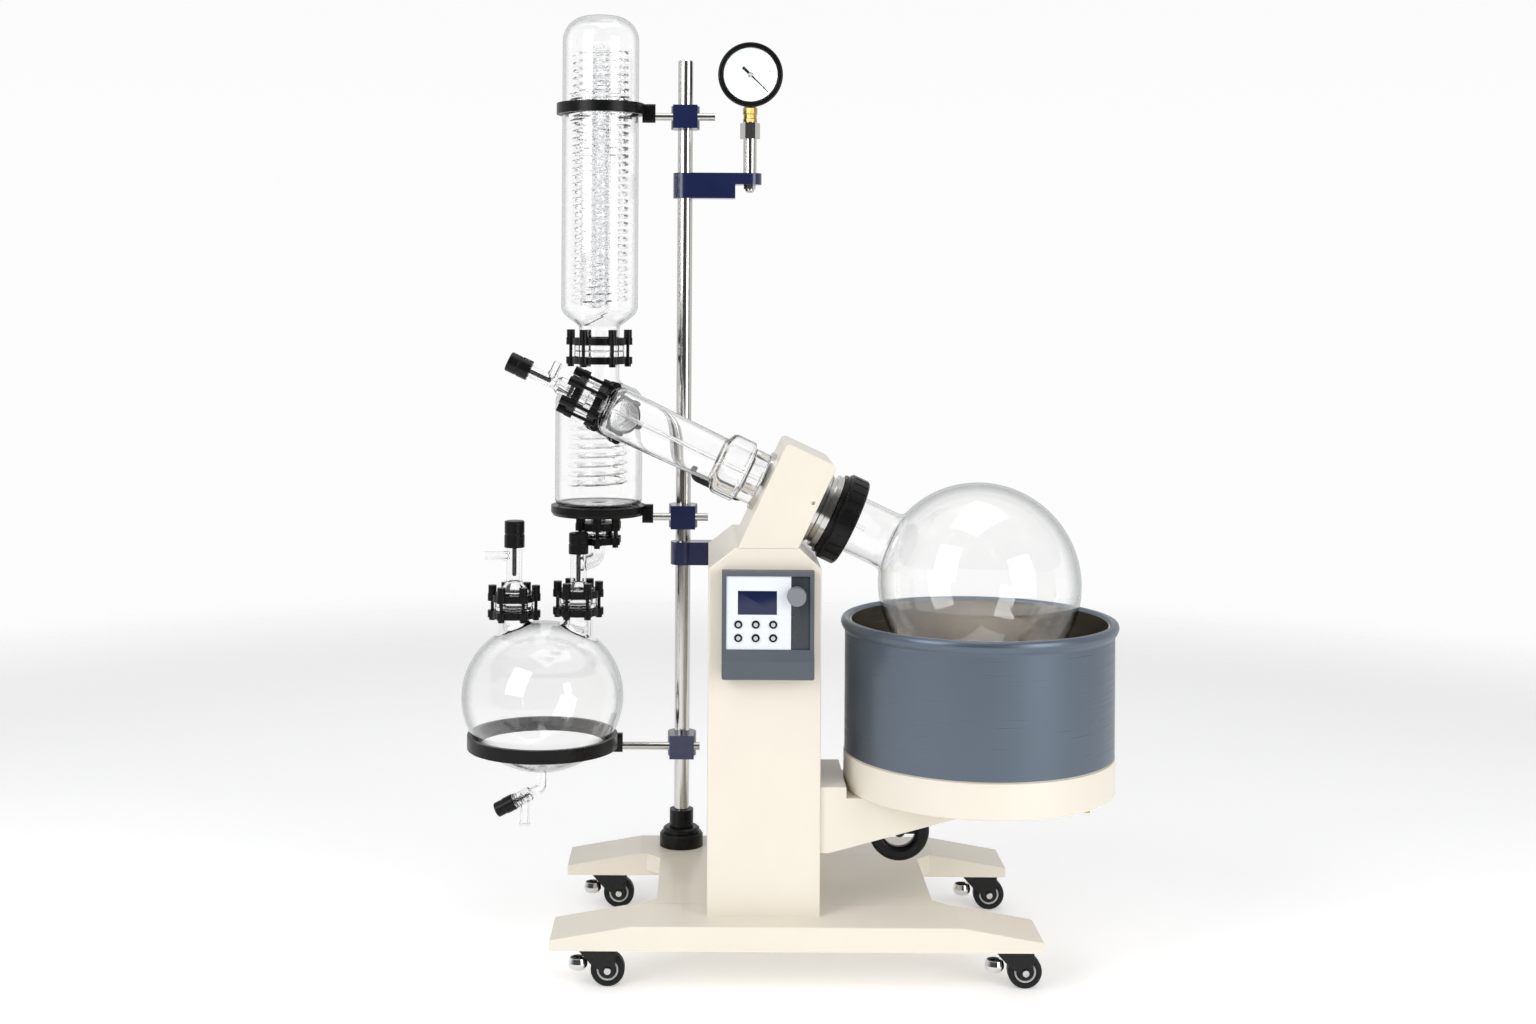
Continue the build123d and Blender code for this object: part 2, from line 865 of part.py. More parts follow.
# Drive motor on its plate, which stands against the inside of the casing.
with BuildPart() as drive_motor:
    with BuildSketch(motor_side):
        Polygon(
            (motor_start, 0),
            (motor_start, motor_radius - 6),
            (motor_start + 6, motor_radius),
            (motor_plate_start, motor_radius),
            (motor_plate_start, 0),
            align=None,
        )
    revolve(axis=motor_axis)
    plate_center = column_front + column_wall + motor_plate_width / 2
    with BuildSketch(rotor_plane(motor_plate_start, -drive_distance)):
        with Locations((rotor_y - plate_center, 0)):
            Rectangle(motor_plate_width, motor_plate_height)
    extrude(amount=motor_plate_thick)
    with BuildSketch(rotor_plane(shaft_tip - 1, -drive_distance)):
        Circle(motor_shaft_radius + run_gap)
    extrude(amount=motor_plate_end - shaft_tip + 2, mode=Mode.SUBTRACT)
drive_motor.part.label = "drive_motor"
export_step(drive_motor.part, "parts/drive_motor.step")

# Flat drive belt round both pulleys.
belt_start = pulley_start + (pulley_width - belt_width) / 2
with BuildPart() as drive_belt:
    for grow, mode in ((belt_thick, Mode.ADD), (0, Mode.SUBTRACT)):
        with BuildSketch(rotor_plane(belt_start)):
            Circle(pulley_radius + pass_gap + grow)
            with Locations((0, -drive_distance)):
                Circle(motor_pulley_radius + pass_gap + grow)
            make_hull()
        extrude(amount=belt_width, mode=mode)
drive_belt.part.label = "drive_belt"
export_step(drive_belt.part, "parts/drive_belt.step")

# Black collar that clamps the flask to the flange, with grip grooves.
collar_end = collar_start + collar_length
rim_start = flange_start - flask_rim_length
cone_start = rim_start - flask_rim_cone
with BuildPart() as flask_collar:
    with BuildSketch(rotor_side):
        Polygon(
            (collar_start, flask_neck_radius + collar_lip + 4),
            (collar_start, collar_radius - 3),
            (collar_start + 3, collar_radius),
            (collar_end - 3, collar_radius),
            (collar_end, collar_radius - 3),
            (collar_end, collar_step_radius),
            (flange_start, collar_step_radius),
            (flange_start, flask_rim_radius + pass_gap),
            (rim_start, flask_rim_radius + pass_gap),
            (cone_start, flask_neck_radius + pass_gap),
            (collar_start + 6, flask_neck_radius + pass_gap),
            align=None,
        )
    revolve(axis=rotor_axis)
    with BuildSketch(rotor_plane(collar_start)):
        with PolarLocations(collar_radius + 1, 24):
            Rectangle(4, 5)
    extrude(amount=collar_length - 6, mode=Mode.SUBTRACT)
flask_collar.part.label = "flask_collar"
export_step(flask_collar.part, "parts/flask_collar.step")

# Evaporating flask: a blown sphere with a neck and a conical rim.
with BuildPart() as evaporating_flask:
    for inset, mode in ((0, Mode.ADD), (glass_wall, Mode.SUBTRACT)):
        ball = flask_radius - inset
        neck = flask_neck_radius - inset
        joint = math.sqrt(ball**2 - neck**2)
        with BuildSketch(rotor_side) as section:
            with BuildLine():
                ThreePointArc((-ball, 0), (0, ball), (joint, neck))
                if inset:
                    Polyline((joint, neck), (flange_start, neck), (flange_start, 0), (-ball, 0))
                else:
                    Polyline(
                        (joint, neck),
                        (cone_start, neck),
                        (rim_start, flask_rim_radius),
                        (flange_start, flask_rim_radius),
                        (flange_start, 0),
                        (-ball, 0),
                    )
            make_face()
            fillet(section.vertices().sort_by_distance((joint, neck))[0], 10 + inset)
        revolve(axis=rotor_axis, mode=mode)
evaporating_flask.part.label = "evaporating_flask"
export_step(evaporating_flask.part, "parts/evaporating_flask.step")


def glass_rim(joint):
    # Thickness of one glass flange between the two rings of a clamp pair.
    return (joint["pitch"] - clamp_ring_thick - seal_gap) / 2


# Vapour duct on the rotor axis, with its side branch to the cooling vessel.
branch_origin = rotor_point(branch_place)
vessel_center = (vessel_x, vessel_y, branch_origin[2])
branch_vector = Vector(*vessel_center) - Vector(*branch_origin)
branch_length = branch_vector.length
branch_direction = tuple(branch_vector.normalized())


def branch_plane(place):
    return Plane(
        origin=along(branch_origin, branch_direction, place),
        x_dir=(0, 0, 1),
        z_dir=branch_direction,
    )


duct_flange_end = rear_seal_end + duct_flange_length
bell_end = duct_flange_end + duct_bell_length
duct_neck = duct_joint["neck"]
duct_rim_end = duct_joint_place - seal_gap / 2
duct_rim_start = duct_rim_end - glass_rim(duct_joint)
branch_rim_end = branch_joint_place - seal_gap / 2
branch_rim_start = branch_rim_end - glass_rim(branch_joint)
duct_wall = glass_wall - 0.5
with BuildPart() as vapour_duct:
    with BuildSketch(rotor_side) as section:
        Polygon(
            (rear_seal_end, 0),
            (rear_seal_end, duct_flange_radius),
            (duct_flange_end, duct_flange_radius),
            (duct_flange_end, duct_bell_radius),
            (bell_end, duct_bell_radius),
            (bell_end, duct_start_radius),
            (duct_end, duct_end_radius),
            (duct_end, duct_neck),
            (duct_rim_start, duct_neck),
            (duct_rim_start, duct_joint["flange"]),
            (duct_rim_end, duct_joint["flange"]),
            (duct_rim_end, 0),
            align=None,
        )
        fillet(section.vertices().sort_by_distance((bell_end, duct_bell_radius))[0], 12)
        fillet(section.vertices().sort_by_distance((duct_flange_end, duct_bell_radius))[0], 3)
        fillet(section.vertices().sort_by_distance((duct_end, duct_end_radius))[0], 20)
    revolve(axis=rotor_axis)
    with BuildSketch(branch_plane(0)):
        Circle(branch_radius)
    extrude(amount=branch_rim_end)
    with BuildSketch(branch_plane(branch_rim_start)):
        Circle(branch_joint["flange"])
    extrude(amount=branch_rim_end - branch_rim_start)
    with BuildSketch(rotor_side) as section:
        Polygon(
            (rear_seal_end - 1, 0),
            (rear_seal_end - 1, nozzle_radius),
            (duct_flange_end - 4, nozzle_radius),
            (duct_flange_end - 4, duct_start_radius - duct_wall),
            (bell_end, duct_start_radius - duct_wall),
            (duct_end - duct_wall, duct_end_radius - duct_wall),
            (duct_end - duct_wall, duct_neck - duct_wall),
            (duct_rim_end + 1, duct_neck - duct_wall),
            (duct_rim_end + 1, 0),
            align=None,
        )
        inner_end = (duct_end - duct_wall, duct_end_radius - duct_wall)
        fillet(section.vertices().sort_by_distance(inner_end)[0], 20 - duct_wall)
    revolve(axis=rotor_axis, mode=Mode.SUBTRACT)
    with BuildSketch(branch_plane(0)):
        Circle(branch_radius - duct_wall)
    extrude(amount=branch_rim_end + 1, mode=Mode.SUBTRACT)
    with BuildSketch(rotor_side):
        Polygon(
            (nozzle_start, nozzle_radius - duct_wall),
            (nozzle_start, nozzle_radius),
            (rear_seal_end + 6, nozzle_radius),
            (rear_seal_end + 6, nozzle_radius - duct_wall),
            align=None,
        )
    revolve(axis=rotor_axis)
vapour_duct.part.label = "vapour_duct"
export_step(vapour_duct.part, "parts/vapour_duct.step")

# Cooling vessel with its branch, bottom outlet and two coolant nipples.
vessel_axis = Axis((vessel_x, vessel_y, 0), (0, 0, 1))
vessel_side = Plane(origin=(vessel_x, vessel_y, 0), x_dir=(1, 0, 0), z_dir=(0, -1, 0))
vessel_rim_top = condenser_joint_z - seal_gap / 2
vessel_rim_bottom = vessel_rim_top - glass_rim(condenser_joint)
outlet_rim_bottom = outlet_joint_z + seal_gap / 2
outlet_rim_top = outlet_rim_bottom + glass_rim(outlet_joint)
vessel_neck_start = vessel_shoulder + 16
socket_end = branch_length - vessel_radius + 14
socket_rim_start = branch_joint_place + seal_gap / 2
socket_rim_end = socket_rim_start + glass_rim(branch_joint)
vessel_nipples = (vessel_bottom + 40, vessel_shoulder - 48)
with BuildPart() as cooling_vessel:
    with BuildSketch(vessel_side) as section:
        Polygon(
            (0, outlet_rim_bottom),
            (outlet_joint["flange"], outlet_rim_bottom),
            (outlet_joint["flange"], outlet_rim_top),
            (bend_radius, outlet_rim_top),
            (bend_radius, vessel_bottom),
            (vessel_radius, vessel_bottom),
            (vessel_radius, vessel_shoulder),
            (vessel_neck_radius, vessel_neck_start),
            (vessel_neck_radius, vessel_rim_bottom),
            (condenser_joint["flange"], vessel_rim_bottom),
            (condenser_joint["flange"], vessel_rim_top),
            (0, vessel_rim_top),
            align=None,
        )
        fillet(section.vertices().sort_by_distance((vessel_radius, vessel_bottom))[0], 10)
        fillet(section.vertices().sort_by_distance((vessel_radius, vessel_shoulder))[0], 24)
        fillet(section.vertices().sort_by_distance((vessel_neck_radius, vessel_neck_start))[0], 12)
    revolve(axis=vessel_axis)
    with BuildSketch(branch_plane(socket_rim_start)):
        Circle(branch_radius)
    extrude(amount=socket_end - socket_rim_start)
    with BuildSketch(branch_plane(socket_rim_start)):
        Circle(branch_joint["flange"])
    extrude(amount=socket_rim_end - socket_rim_start)
    with BuildSketch(front_plane(vessel_y + vessel_radius - 12)):
        with Locations(*[(vessel_x, z) for z in vessel_nipples]):
            Circle(coolant_radius)
    extrude(amount=-coolant_reach - 12)
    with BuildSketch(vessel_side) as section:
        Polygon(
            (0, outlet_rim_bottom - 1),
            (bend_radius - glass_wall, outlet_rim_bottom - 1),
            (bend_radius - glass_wall, vessel_bottom + glass_wall),
            (vessel_radius - glass_wall, vessel_bottom + glass_wall),
            (vessel_radius - glass_wall, vessel_shoulder - 1),
            (vessel_neck_radius - glass_wall, vessel_neck_start - 1),
            (vessel_neck_radius - glass_wall, vessel_rim_top + 1),
            (0, vessel_rim_top + 1),
            align=None,
        )
        inner_base = (vessel_radius - glass_wall, vessel_bottom + glass_wall)
        inner_shoulder = (vessel_radius - glass_wall, vessel_shoulder - 1)
        fillet(section.vertices().sort_by_distance(inner_base)[0], 7)
        fillet(section.vertices().sort_by_distance(inner_shoulder)[0], 20)
    revolve(axis=vessel_axis, mode=Mode.SUBTRACT)
    with BuildSketch(branch_plane(socket_rim_start - 1)):
        Circle(branch_radius - glass_wall)
    extrude(amount=socket_end - socket_rim_start + 2, mode=Mode.SUBTRACT)
    with BuildSketch(front_plane(vessel_y + vessel_radius - 14)):
        with Locations(*[(vessel_x, z) for z in vessel_nipples]):
            Circle(coolant_radius - 2.5)
    extrude(amount=-coolant_reach - 16, mode=Mode.SUBTRACT)
cooling_vessel.part.label = "cooling_vessel"
export_step(cooling_vessel.part, "parts/cooling_vessel.step")

# Tall condenser with a domed top and two coolant nipples at the back.
condenser_rim_bottom = condenser_joint_z + seal_gap / 2
condenser_rim_top = condenser_rim_bottom + glass_rim(condenser_joint)
condenser_full = condenser_shoulder + 26
condenser_nipples = (condenser_full + 22, condenser_top - condenser_dome - 28)
with BuildPart() as condenser:
    for inset, mode in ((0, Mode.ADD), (glass_wall, Mode.SUBTRACT)):
        lower = condenser_rim_bottom - (1 if inset else 0)
        rim = vessel_neck_radius - inset if inset else condenser_joint["flange"]
        body = condenser_radius - inset
        with BuildSketch(vessel_side) as section:
            Polygon(
                (0, lower),
                (rim, lower),
                (rim, condenser_rim_top),
                (vessel_neck_radius - inset - 0.01, condenser_rim_top),
                (vessel_neck_radius - inset - 0.01, condenser_shoulder + inset / 2),
                (body, condenser_full + inset / 2),
                (body, condenser_top - inset),
                (0, condenser_top - inset),
                align=None,
            )
            neck_corner = (vessel_neck_radius - inset, condenser_shoulder + inset / 2)
            fillet(section.vertices().sort_by_distance(neck_corner)[0], 10)
            fillet(section.vertices().sort_by_distance((body, condenser_full))[0], 22 - inset)
            dome_corner = (body, condenser_top - inset)
            fillet(section.vertices().sort_by_distance(dome_corner)[0], condenser_dome - inset)
        revolve(axis=vessel_axis, mode=mode)
        with BuildSketch(front_plane(vessel_y + condenser_radius - 12)):
            with Locations(*[(vessel_x, z) for z in condenser_nipples]):
                Circle(coolant_radius if not inset else coolant_radius - 2.5)
        extrude(amount=-coolant_reach - 12 - inset, mode=mode)
condenser.part.label = "condenser"
export_step(condenser.part, "parts/condenser.step")

# Glass coils as ribbed sleeves: two in the condenser, one in the vessel.
coil_sets = (
    (coil_radius, coil_bottom, coil_turns, coil_pitch, coil_wire),
    (vessel_coil_radius, vessel_coil_bottom, vessel_coil_turns, vessel_coil_pitch, coil_wire),
)
with BuildPart() as cooling_coils:
    with BuildSketch(vessel_side):
        for radius, bottom, turns, pitch, wire in coil_sets:
            inner = radius - wire / 2
            outer = radius + wire / 2
            wave = [(inner, bottom), (inner, bottom + turns * pitch)]
            for turn in range(turns - 1, -1, -1):
                middle = bottom + (turn + 0.5) * pitch
                wave += [(inner + 2, middle + pitch / 2), (outer, middle)]
            wave += [(inner + 2, bottom)]
            Polygon(*wave, align=None)
        Polygon(
            (inner_coil_radius - coil_wire, inner_coil_bottom),
            (inner_coil_radius, inner_coil_bottom),
            (inner_coil_radius, inner_coil_top),
            (inner_coil_radius - coil_wire, inner_coil_top),
            align=None,
        )
    revolve(axis=vessel_axis)
    with BuildSketch(Plane.YZ.offset(vessel_x)):
        with Locations((vessel_y, coil_bottom + coil_wire)):
            Circle(coil_leg_radius)
    extrude(amount=-coil_radius)
    with BuildSketch(front_plane(vessel_y + coil_radius)):
        with Locations(*[(vessel_x, z) for z in condenser_nipples]):
            Circle(coil_leg_radius)
    extrude(amount=-condenser_radius + glass_wall + coil_radius + seal_gap)
    with BuildSketch(front_plane(vessel_y + vessel_coil_radius)):
        with Locations(*[(vessel_x, z) for z in vessel_nipples]):
            Circle(coil_leg_radius)
    extrude(amount=-vessel_radius + glass_wall + vessel_coil_radius + seal_gap)
cooling_coils.part.label = "cooling_coils"
export_step(cooling_coils.part, "parts/cooling_coils.step")

# Receiving flask: a flattened ball with two necks and a drain valve below.
receiver_side = Plane(origin=(receiver_x, receiver_y, 0), x_dir=(1, 0, 0), z_dir=(0, -1, 0))
receiver_back = Plane(origin=(receiver_x, receiver_y, 0), x_dir=(0, 1, 0), z_dir=(1, 0, 0))
receiver_axis = Axis((receiver_x, receiver_y, 0), (0, 0, 1))
oval_reach = receiver_radius - receiver_bend
oval_polar = (oval_reach**2 + receiver_half_height**2 - receiver_bend**2) / (
    2 * (receiver_half_height - receiver_bend)
)
oval_drop = oval_polar - receiver_half_height
oval_angle = math.atan2(oval_drop, oval_reach)


def receiver_oval(grow):
    # Half of the ball's outline: one arc round the equator between two flatter arcs.
    polar = oval_polar + grow
    middle = (oval_angle + math.pi / 2) / 2
    joint = (polar * math.cos(oval_angle), polar * math.sin(oval_angle) - oval_drop)
    between = (polar * math.cos(middle), polar * math.sin(middle) - oval_drop)
    top = polar - oval_drop
    with BuildSketch(receiver_back) as profile:
        with BuildLine():
            ThreePointArc(
                (0, receiver_z - top),
                (between[0], receiver_z - between[1]),
                (joint[0], receiver_z - joint[1]),
            )
            ThreePointArc(
                (joint[0], receiver_z - joint[1]),
                (receiver_radius + grow, receiver_z),
                (joint[0], receiver_z + joint[1]),
            )
            ThreePointArc(
                (joint[0], receiver_z + joint[1]),
                (between[0], receiver_z + between[1]),
                (0, receiver_z + top),
            )
            Line((0, receiver_z + top), (0, receiver_z - top))
        make_face()
    return profile


vent_rim_top = vent_joint_z - seal_gap / 2
inlet_rim_top = inlet_joint_z - seal_gap / 2
receiver_bottom = receiver_z - receiver_half_height
drain_cos = math.cos(math.radians(drain_angle))
drain_sin = math.sin(math.radians(drain_angle))
drain_direction = (-drain_cos, 0, -drain_sin)
drain_turn = (receiver_x, receiver_y, drain_turn_z)


def drain_plane(place):
    return Plane(
        origin=along(drain_turn, drain_direction, place),
        x_dir=(0, 1, 0),
        z_dir=drain_direction,
    )


outlet_top = along(drain_turn, drain_direction, drain_outlet_place)
with BuildPart() as receiving_flask:
    revolve(receiver_oval(0).sketch, axis=receiver_axis)
    for neck_x, rim_top, joint in (
        (vent_x, vent_rim_top, vent_joint),
        (inlet_x, inlet_rim_top, inlet_joint),
    ):
        with BuildSketch(Plane.XY.offset(receiver_z + 60)):
            with Locations((neck_x, receiver_y)):
                Circle(receiver_neck_radius)
        extrude(amount=rim_top - receiver_z - 60)
        with BuildSketch(Plane.XY.offset(rim_top)):
            with Locations((neck_x, receiver_y)):
                Circle(joint["flange"])
        extrude(amount=-glass_rim(joint))
    with BuildSketch(Plane.XY.offset(drain_turn_z - 8)):
        with Locations((receiver_x, receiver_y)):
            Circle(drain_neck_radius)
    extrude(amount=receiver_bottom - drain_turn_z + 16)
    with BuildSketch(drain_plane(0)):
        Circle(drain_barrel_radius)
    extrude(amount=drain_barrel_length)
    with BuildSketch(drain_plane(drain_barrel_length)):
        Circle(drain_nose_radius)
    extrude(amount=drain_nose_length)
    with BuildSketch(Plane.XY.offset(drain_outlet_z)):
        with Locations((outlet_top[0], receiver_y)):
            Circle(drain_outlet_radius)
    extrude(amount=outlet_top[2] - drain_outlet_z)
    with BuildSketch(Plane.XY.offset(drain_outlet_z + drain_outlet_free)):
        with Locations((outlet_top[0], receiver_y)):
            Circle(drain_outlet_radius + nipple_step)
    extrude(amount=outlet_top[2] - drain_outlet_z - drain_outlet_free)
    revolve(receiver_oval(-glass_wall).sketch, axis=receiver_axis, mode=Mode.SUBTRACT)
    for neck_x, rim_top in ((vent_x, vent_rim_top), (inlet_x, inlet_rim_top)):
        with BuildSketch(Plane.XY.offset(receiver_z + 60)):
            with Locations((neck_x, receiver_y)):
                Circle(receiver_neck_radius - glass_wall)
        extrude(amount=rim_top - receiver_z - 59, mode=Mode.SUBTRACT)
    with BuildSketch(Plane.XY.offset(drain_turn_z)):
        with Locations((receiver_x, receiver_y)):
            Circle(drain_neck_radius - glass_wall)
    extrude(amount=receiver_bottom - drain_turn_z + 12, mode=Mode.SUBTRACT)
    with BuildSketch(drain_plane(0)):
        Circle(stem_radius + run_gap)
    extrude(amount=drain_barrel_length + drain_nose_length + 1, mode=Mode.SUBTRACT)
    with BuildSketch(Plane.XY.offset(drain_outlet_z - 1)):
        with Locations((outlet_top[0], receiver_y)):
            Circle(drain_outlet_radius - glass_wall)
    extrude(amount=outlet_top[2] - drain_outlet_z + 1, mode=Mode.SUBTRACT)
receiving_flask.part.label = "receiving_flask"
export_step(receiving_flask.part, "parts/receiving_flask.step")

# Three glass valve adapters: feed valve on the duct, vent and inlet on the receiver.
feed_rim_start = duct_joint_place + seal_gap / 2
feed_rim_end = feed_rim_start + glass_rim(duct_joint)
stem_bore = stem_radius + run_gap
feed_nipple_base = rotor_point(feed_nipple_place)
vent_rim_bottom = vent_joint_z + seal_gap / 2
inlet_rim_bottom = inlet_joint_z + seal_gap / 2
vent_tube_top = vent_cap_z + cap_thread_length
inlet_tube_top = inlet_cap_z + cap_thread_length
bend_rim_top = outlet_joint_z - seal_gap / 2
bend_rim_bottom = bend_rim_top - glass_rim(outlet_joint)
bend_end = (inlet_x, receiver_y, 643)
bend_start = (vessel_x, vessel_y, bend_rim_top)
bend_corner = (vessel_x, vessel_y, 648)


def tube_profile(side, points):
    with BuildSketch(side) as section:
        Polygon(*points, align=None)
    return section.sketch


vent_side = Plane(origin=(vent_x, receiver_y, 0), x_dir=(1, 0, 0), z_dir=(0, -1, 0))
inlet_side = Plane(origin=(inlet_x, receiver_y, 0), x_dir=(1, 0, 0), z_dir=(0, -1, 0))
with BuildPart() as feed_valve:
    with BuildSketch(rotor_side) as section:
        Polygon(
            (feed_rim_start, feed_tube_radius - 1.2),
            (feed_rim_start, duct_joint["flange"]),
            (feed_rim_end, duct_joint["flange"]),
            (feed_rim_end, duct_neck),
            (feed_rim_end + 16, duct_neck),
            (feed_rim_end + 22, valve_neck_radius),
            (valve_neck_end, valve_neck_radius),
            (valve_neck_end + 6, valve_tube_radius),
            (feed_tube_end, valve_tube_radius),
            (feed_tube_end, stem_bore),
            (feed_nipple_place - 10, stem_bore),
            (feed_nipple_place - 10, feed_tube_radius - 1.2),
            align=None,
        )
    revolve(axis=rotor_axis)
    with BuildSketch(rotor_side):
        Polygon(
            (feed_tube_start, feed_tube_radius - 1.2),
            (feed_tube_start, feed_tube_radius),
            (feed_rim_start, feed_tube_radius),
            (feed_rim_start, feed_tube_radius - 1.2),
            align=None,
        )
    revolve(axis=rotor_axis)
    with BuildSketch(Plane(origin=feed_nipple_base, x_dir=(0, 1, 0), z_dir=axis_rise)):
        Circle(nipple_radius)
    extrude(amount=feed_nipple_length)
    with BuildSketch(Plane(origin=feed_nipple_base, x_dir=(0, 1, 0), z_dir=axis_rise)):
        Circle(nipple_radius + nipple_step)
    extrude(amount=valve_tube_radius + nipple_foot)
    with BuildSketch(rotor_plane(feed_nipple_place - 10)):
        Circle(stem_bore)
    extrude(amount=feed_tube_end - feed_nipple_place + 11, mode=Mode.SUBTRACT)
    with BuildSketch(Plane(origin=feed_nipple_base, x_dir=(0, 1, 0), z_dir=axis_rise)):
        Circle(nipple_bore)
    extrude(amount=feed_nipple_length + 1, mode=Mode.SUBTRACT)
with BuildPart() as vent_valve:
    with BuildSketch(vent_side):
        Polygon(
            (0, vent_rim_bottom),
            (vent_joint["flange"], vent_rim_bottom),
            (vent_joint["flange"], vent_rim_bottom + glass_rim(vent_joint)),
            (receiver_neck_radius, vent_rim_bottom + glass_rim(vent_joint)),
            (receiver_neck_radius, vent_joint_z + 26),
            (vent_tube_radius, vent_joint_z + 44),
            (vent_tube_radius, vent_tube_top),
            (0, vent_tube_top),
            align=None,
        )
    revolve(axis=Axis((vent_x, receiver_y, 0), (0, 0, 1)))
    with BuildSketch(Plane.YZ.offset(vent_x)):
        with Locations((receiver_y, vent_nipple_z)):
            Circle(nipple_radius)
    extrude(amount=-vent_nipple_length)
    with BuildSketch(Plane.YZ.offset(vent_x)):
        with Locations((receiver_y, vent_nipple_z)):
            Circle(nipple_radius + nipple_step)
    extrude(amount=-vent_tube_radius - nipple_foot)
    with BuildSketch(vent_side):
        Polygon(
            (0, vent_rim_bottom - 1),
            (receiver_neck_radius - glass_wall, vent_rim_bottom - 1),
            (receiver_neck_radius - glass_wall, vent_joint_z + 24),
            (vent_tube_radius - glass_wall, vent_joint_z + 42),
            (vent_tube_radius - glass_wall, vent_tube_top + 1),
            (0, vent_tube_top + 1),
            align=None,
        )
    revolve(axis=Axis((vent_x, receiver_y, 0), (0, 0, 1)), mode=Mode.SUBTRACT)
    with BuildSketch(Plane.YZ.offset(vent_x)):
        with Locations((receiver_y, vent_nipple_z)):
            Circle(nipple_bore)
    extrude(amount=-vent_nipple_length - 1, mode=Mode.SUBTRACT)
with BuildPart() as inlet_valve:
    with BuildSketch(inlet_side):
        Polygon(
            (0, inlet_rim_bottom),
            (inlet_joint["flange"], inlet_rim_bottom),
            (inlet_joint["flange"], inlet_rim_bottom + glass_rim(inlet_joint)),
            (receiver_neck_radius, inlet_rim_bottom + glass_rim(inlet_joint)),
            (receiver_neck_radius, inlet_joint_z + 24),
            (inlet_tube_radius, inlet_joint_z + 36),
            (inlet_tube_radius, inlet_tube_top),
            (0, inlet_tube_top),
            align=None,
        )
    revolve(axis=Axis((inlet_x, receiver_y, 0), (0, 0, 1)))
    with BuildSketch(Plane.XY.offset(bend_rim_top)):
        with Locations((vessel_x, vessel_y)):
            Circle(outlet_joint["flange"])
    extrude(amount=bend_rim_bottom - bend_rim_top)
    with BuildLine():
        FilletPolyline(bend_start, bend_corner, bend_end, radius=20)
    with BuildSketch(Plane(origin=bend_start, z_dir=(0, 0, -1))):
        Circle(bend_radius)
    sweep()
    with BuildSketch(inlet_side):
        Polygon(
            (0, inlet_rim_bottom - 1),
            (receiver_neck_radius - glass_wall, inlet_rim_bottom - 1),
            (receiver_neck_radius - glass_wall, inlet_joint_z + 22),
            (inlet_tube_radius - glass_wall, inlet_joint_z + 34),
            (inlet_tube_radius - glass_wall, inlet_tube_top + 1),
            (0, inlet_tube_top + 1),
            align=None,
        )
    revolve(axis=Axis((inlet_x, receiver_y, 0), (0, 0, 1)), mode=Mode.SUBTRACT)
    with BuildLine():
        FilletPolyline(bend_start, bend_corner, bend_end, radius=20)
    with BuildSketch(Plane(origin=bend_start, z_dir=(0, 0, -1))):
        Circle(bend_radius - glass_wall)
    sweep(mode=Mode.SUBTRACT)
valve_adapters = Compound(
    label="valve_adapters",
    children=[
        *feed_valve.part.solids(),
        *vent_valve.part.solids(),
        *inlet_valve.part.solids(),
    ],
)
export_step(valve_adapters, "parts/valve_adapters.step")

# Screw caps with their stems: a knurl-free barrel with one groove, closed on top.
def cap_points(radius, length, tube, stem_length):
    bore = tube + run_gap
    depth = cap_thread_length + pass_gap
    return [
        (-stem_length, 0),
        (-stem_length, stem_radius - 1),
        (-stem_length + 4, stem_radius),
        (depth, stem_radius),
        (depth, bore),
        (0, bore),
        (0, radius),
        (length * 0.45, radius),
        (length * 0.48, radius - 1),
        (length * 0.52, radius - 1),
        (length * 0.55, radius - 0.4),
        (length - 1.5, radius - 0.4),
        (length, radius - 2),
        (length, 0),
    ]


cap_table = {
    "feed_valve_cap": (
        rotor_point(feed_cap_start),
        axis_up,
        cap_points(feed_cap_radius, feed_cap_length, valve_tube_radius, 40),
    ),
    "vent_valve_cap": (
        (vent_x, receiver_y, vent_cap_z),
        (0, 0, 1),
        cap_points(vent_cap_radius, vent_cap_length, vent_tube_radius, 52),
    ),
    "inlet_valve_cap": (
        (inlet_x, receiver_y, inlet_cap_z),
        (0, 0, 1),
        cap_points(inlet_cap_radius, inlet_cap_length, inlet_tube_radius, 50),
    ),
}
for name, (base, direction, points) in cap_table.items():
    with BuildPart() as cap:
        with BuildSketch(Plane(origin=base, x_dir=direction, z_dir=(0, 1, 0))):
            Polygon(*points, align=None)
        revolve(axis=Axis(base, direction))
    cap.part.label = name
    export_step(cap.part, f"parts/{name}.step")

# Drain knob with its stem, on the slanted valve barrel.
knob_start = drain_barrel_length + pass_gap
drain_base = along(drain_turn, drain_direction, knob_start)
nose_bore = drain_nose_radius + run_gap
with BuildPart() as drain_knob:
    with BuildSketch(Plane(origin=drain_base, x_dir=drain_direction, z_dir=(0, 1, 0))):
        Polygon(
            (-30, 0),
            (-30, stem_radius - 1),
            (-27, stem_radius),
            (drain_nose_length, stem_radius),
            (drain_nose_length, nose_bore),
            (0, nose_bore),
            (0, drain_knob_radius - 1),
            (1, drain_knob_radius),
            (drain_knob_length * 0.5, drain_knob_radius),
            (drain_knob_length * 0.54, drain_knob_radius - 1),
            (drain_knob_length - 2, drain_knob_radius - 1),
            (drain_knob_length, drain_knob_radius - 3),
            (drain_knob_length, 0),
            align=None,
        )
    revolve(axis=Axis(drain_base, drain_direction))
drain_knob.part.label = "drain_valve_knob"
export_step(drain_knob.part, "parts/drain_valve_knob.step")

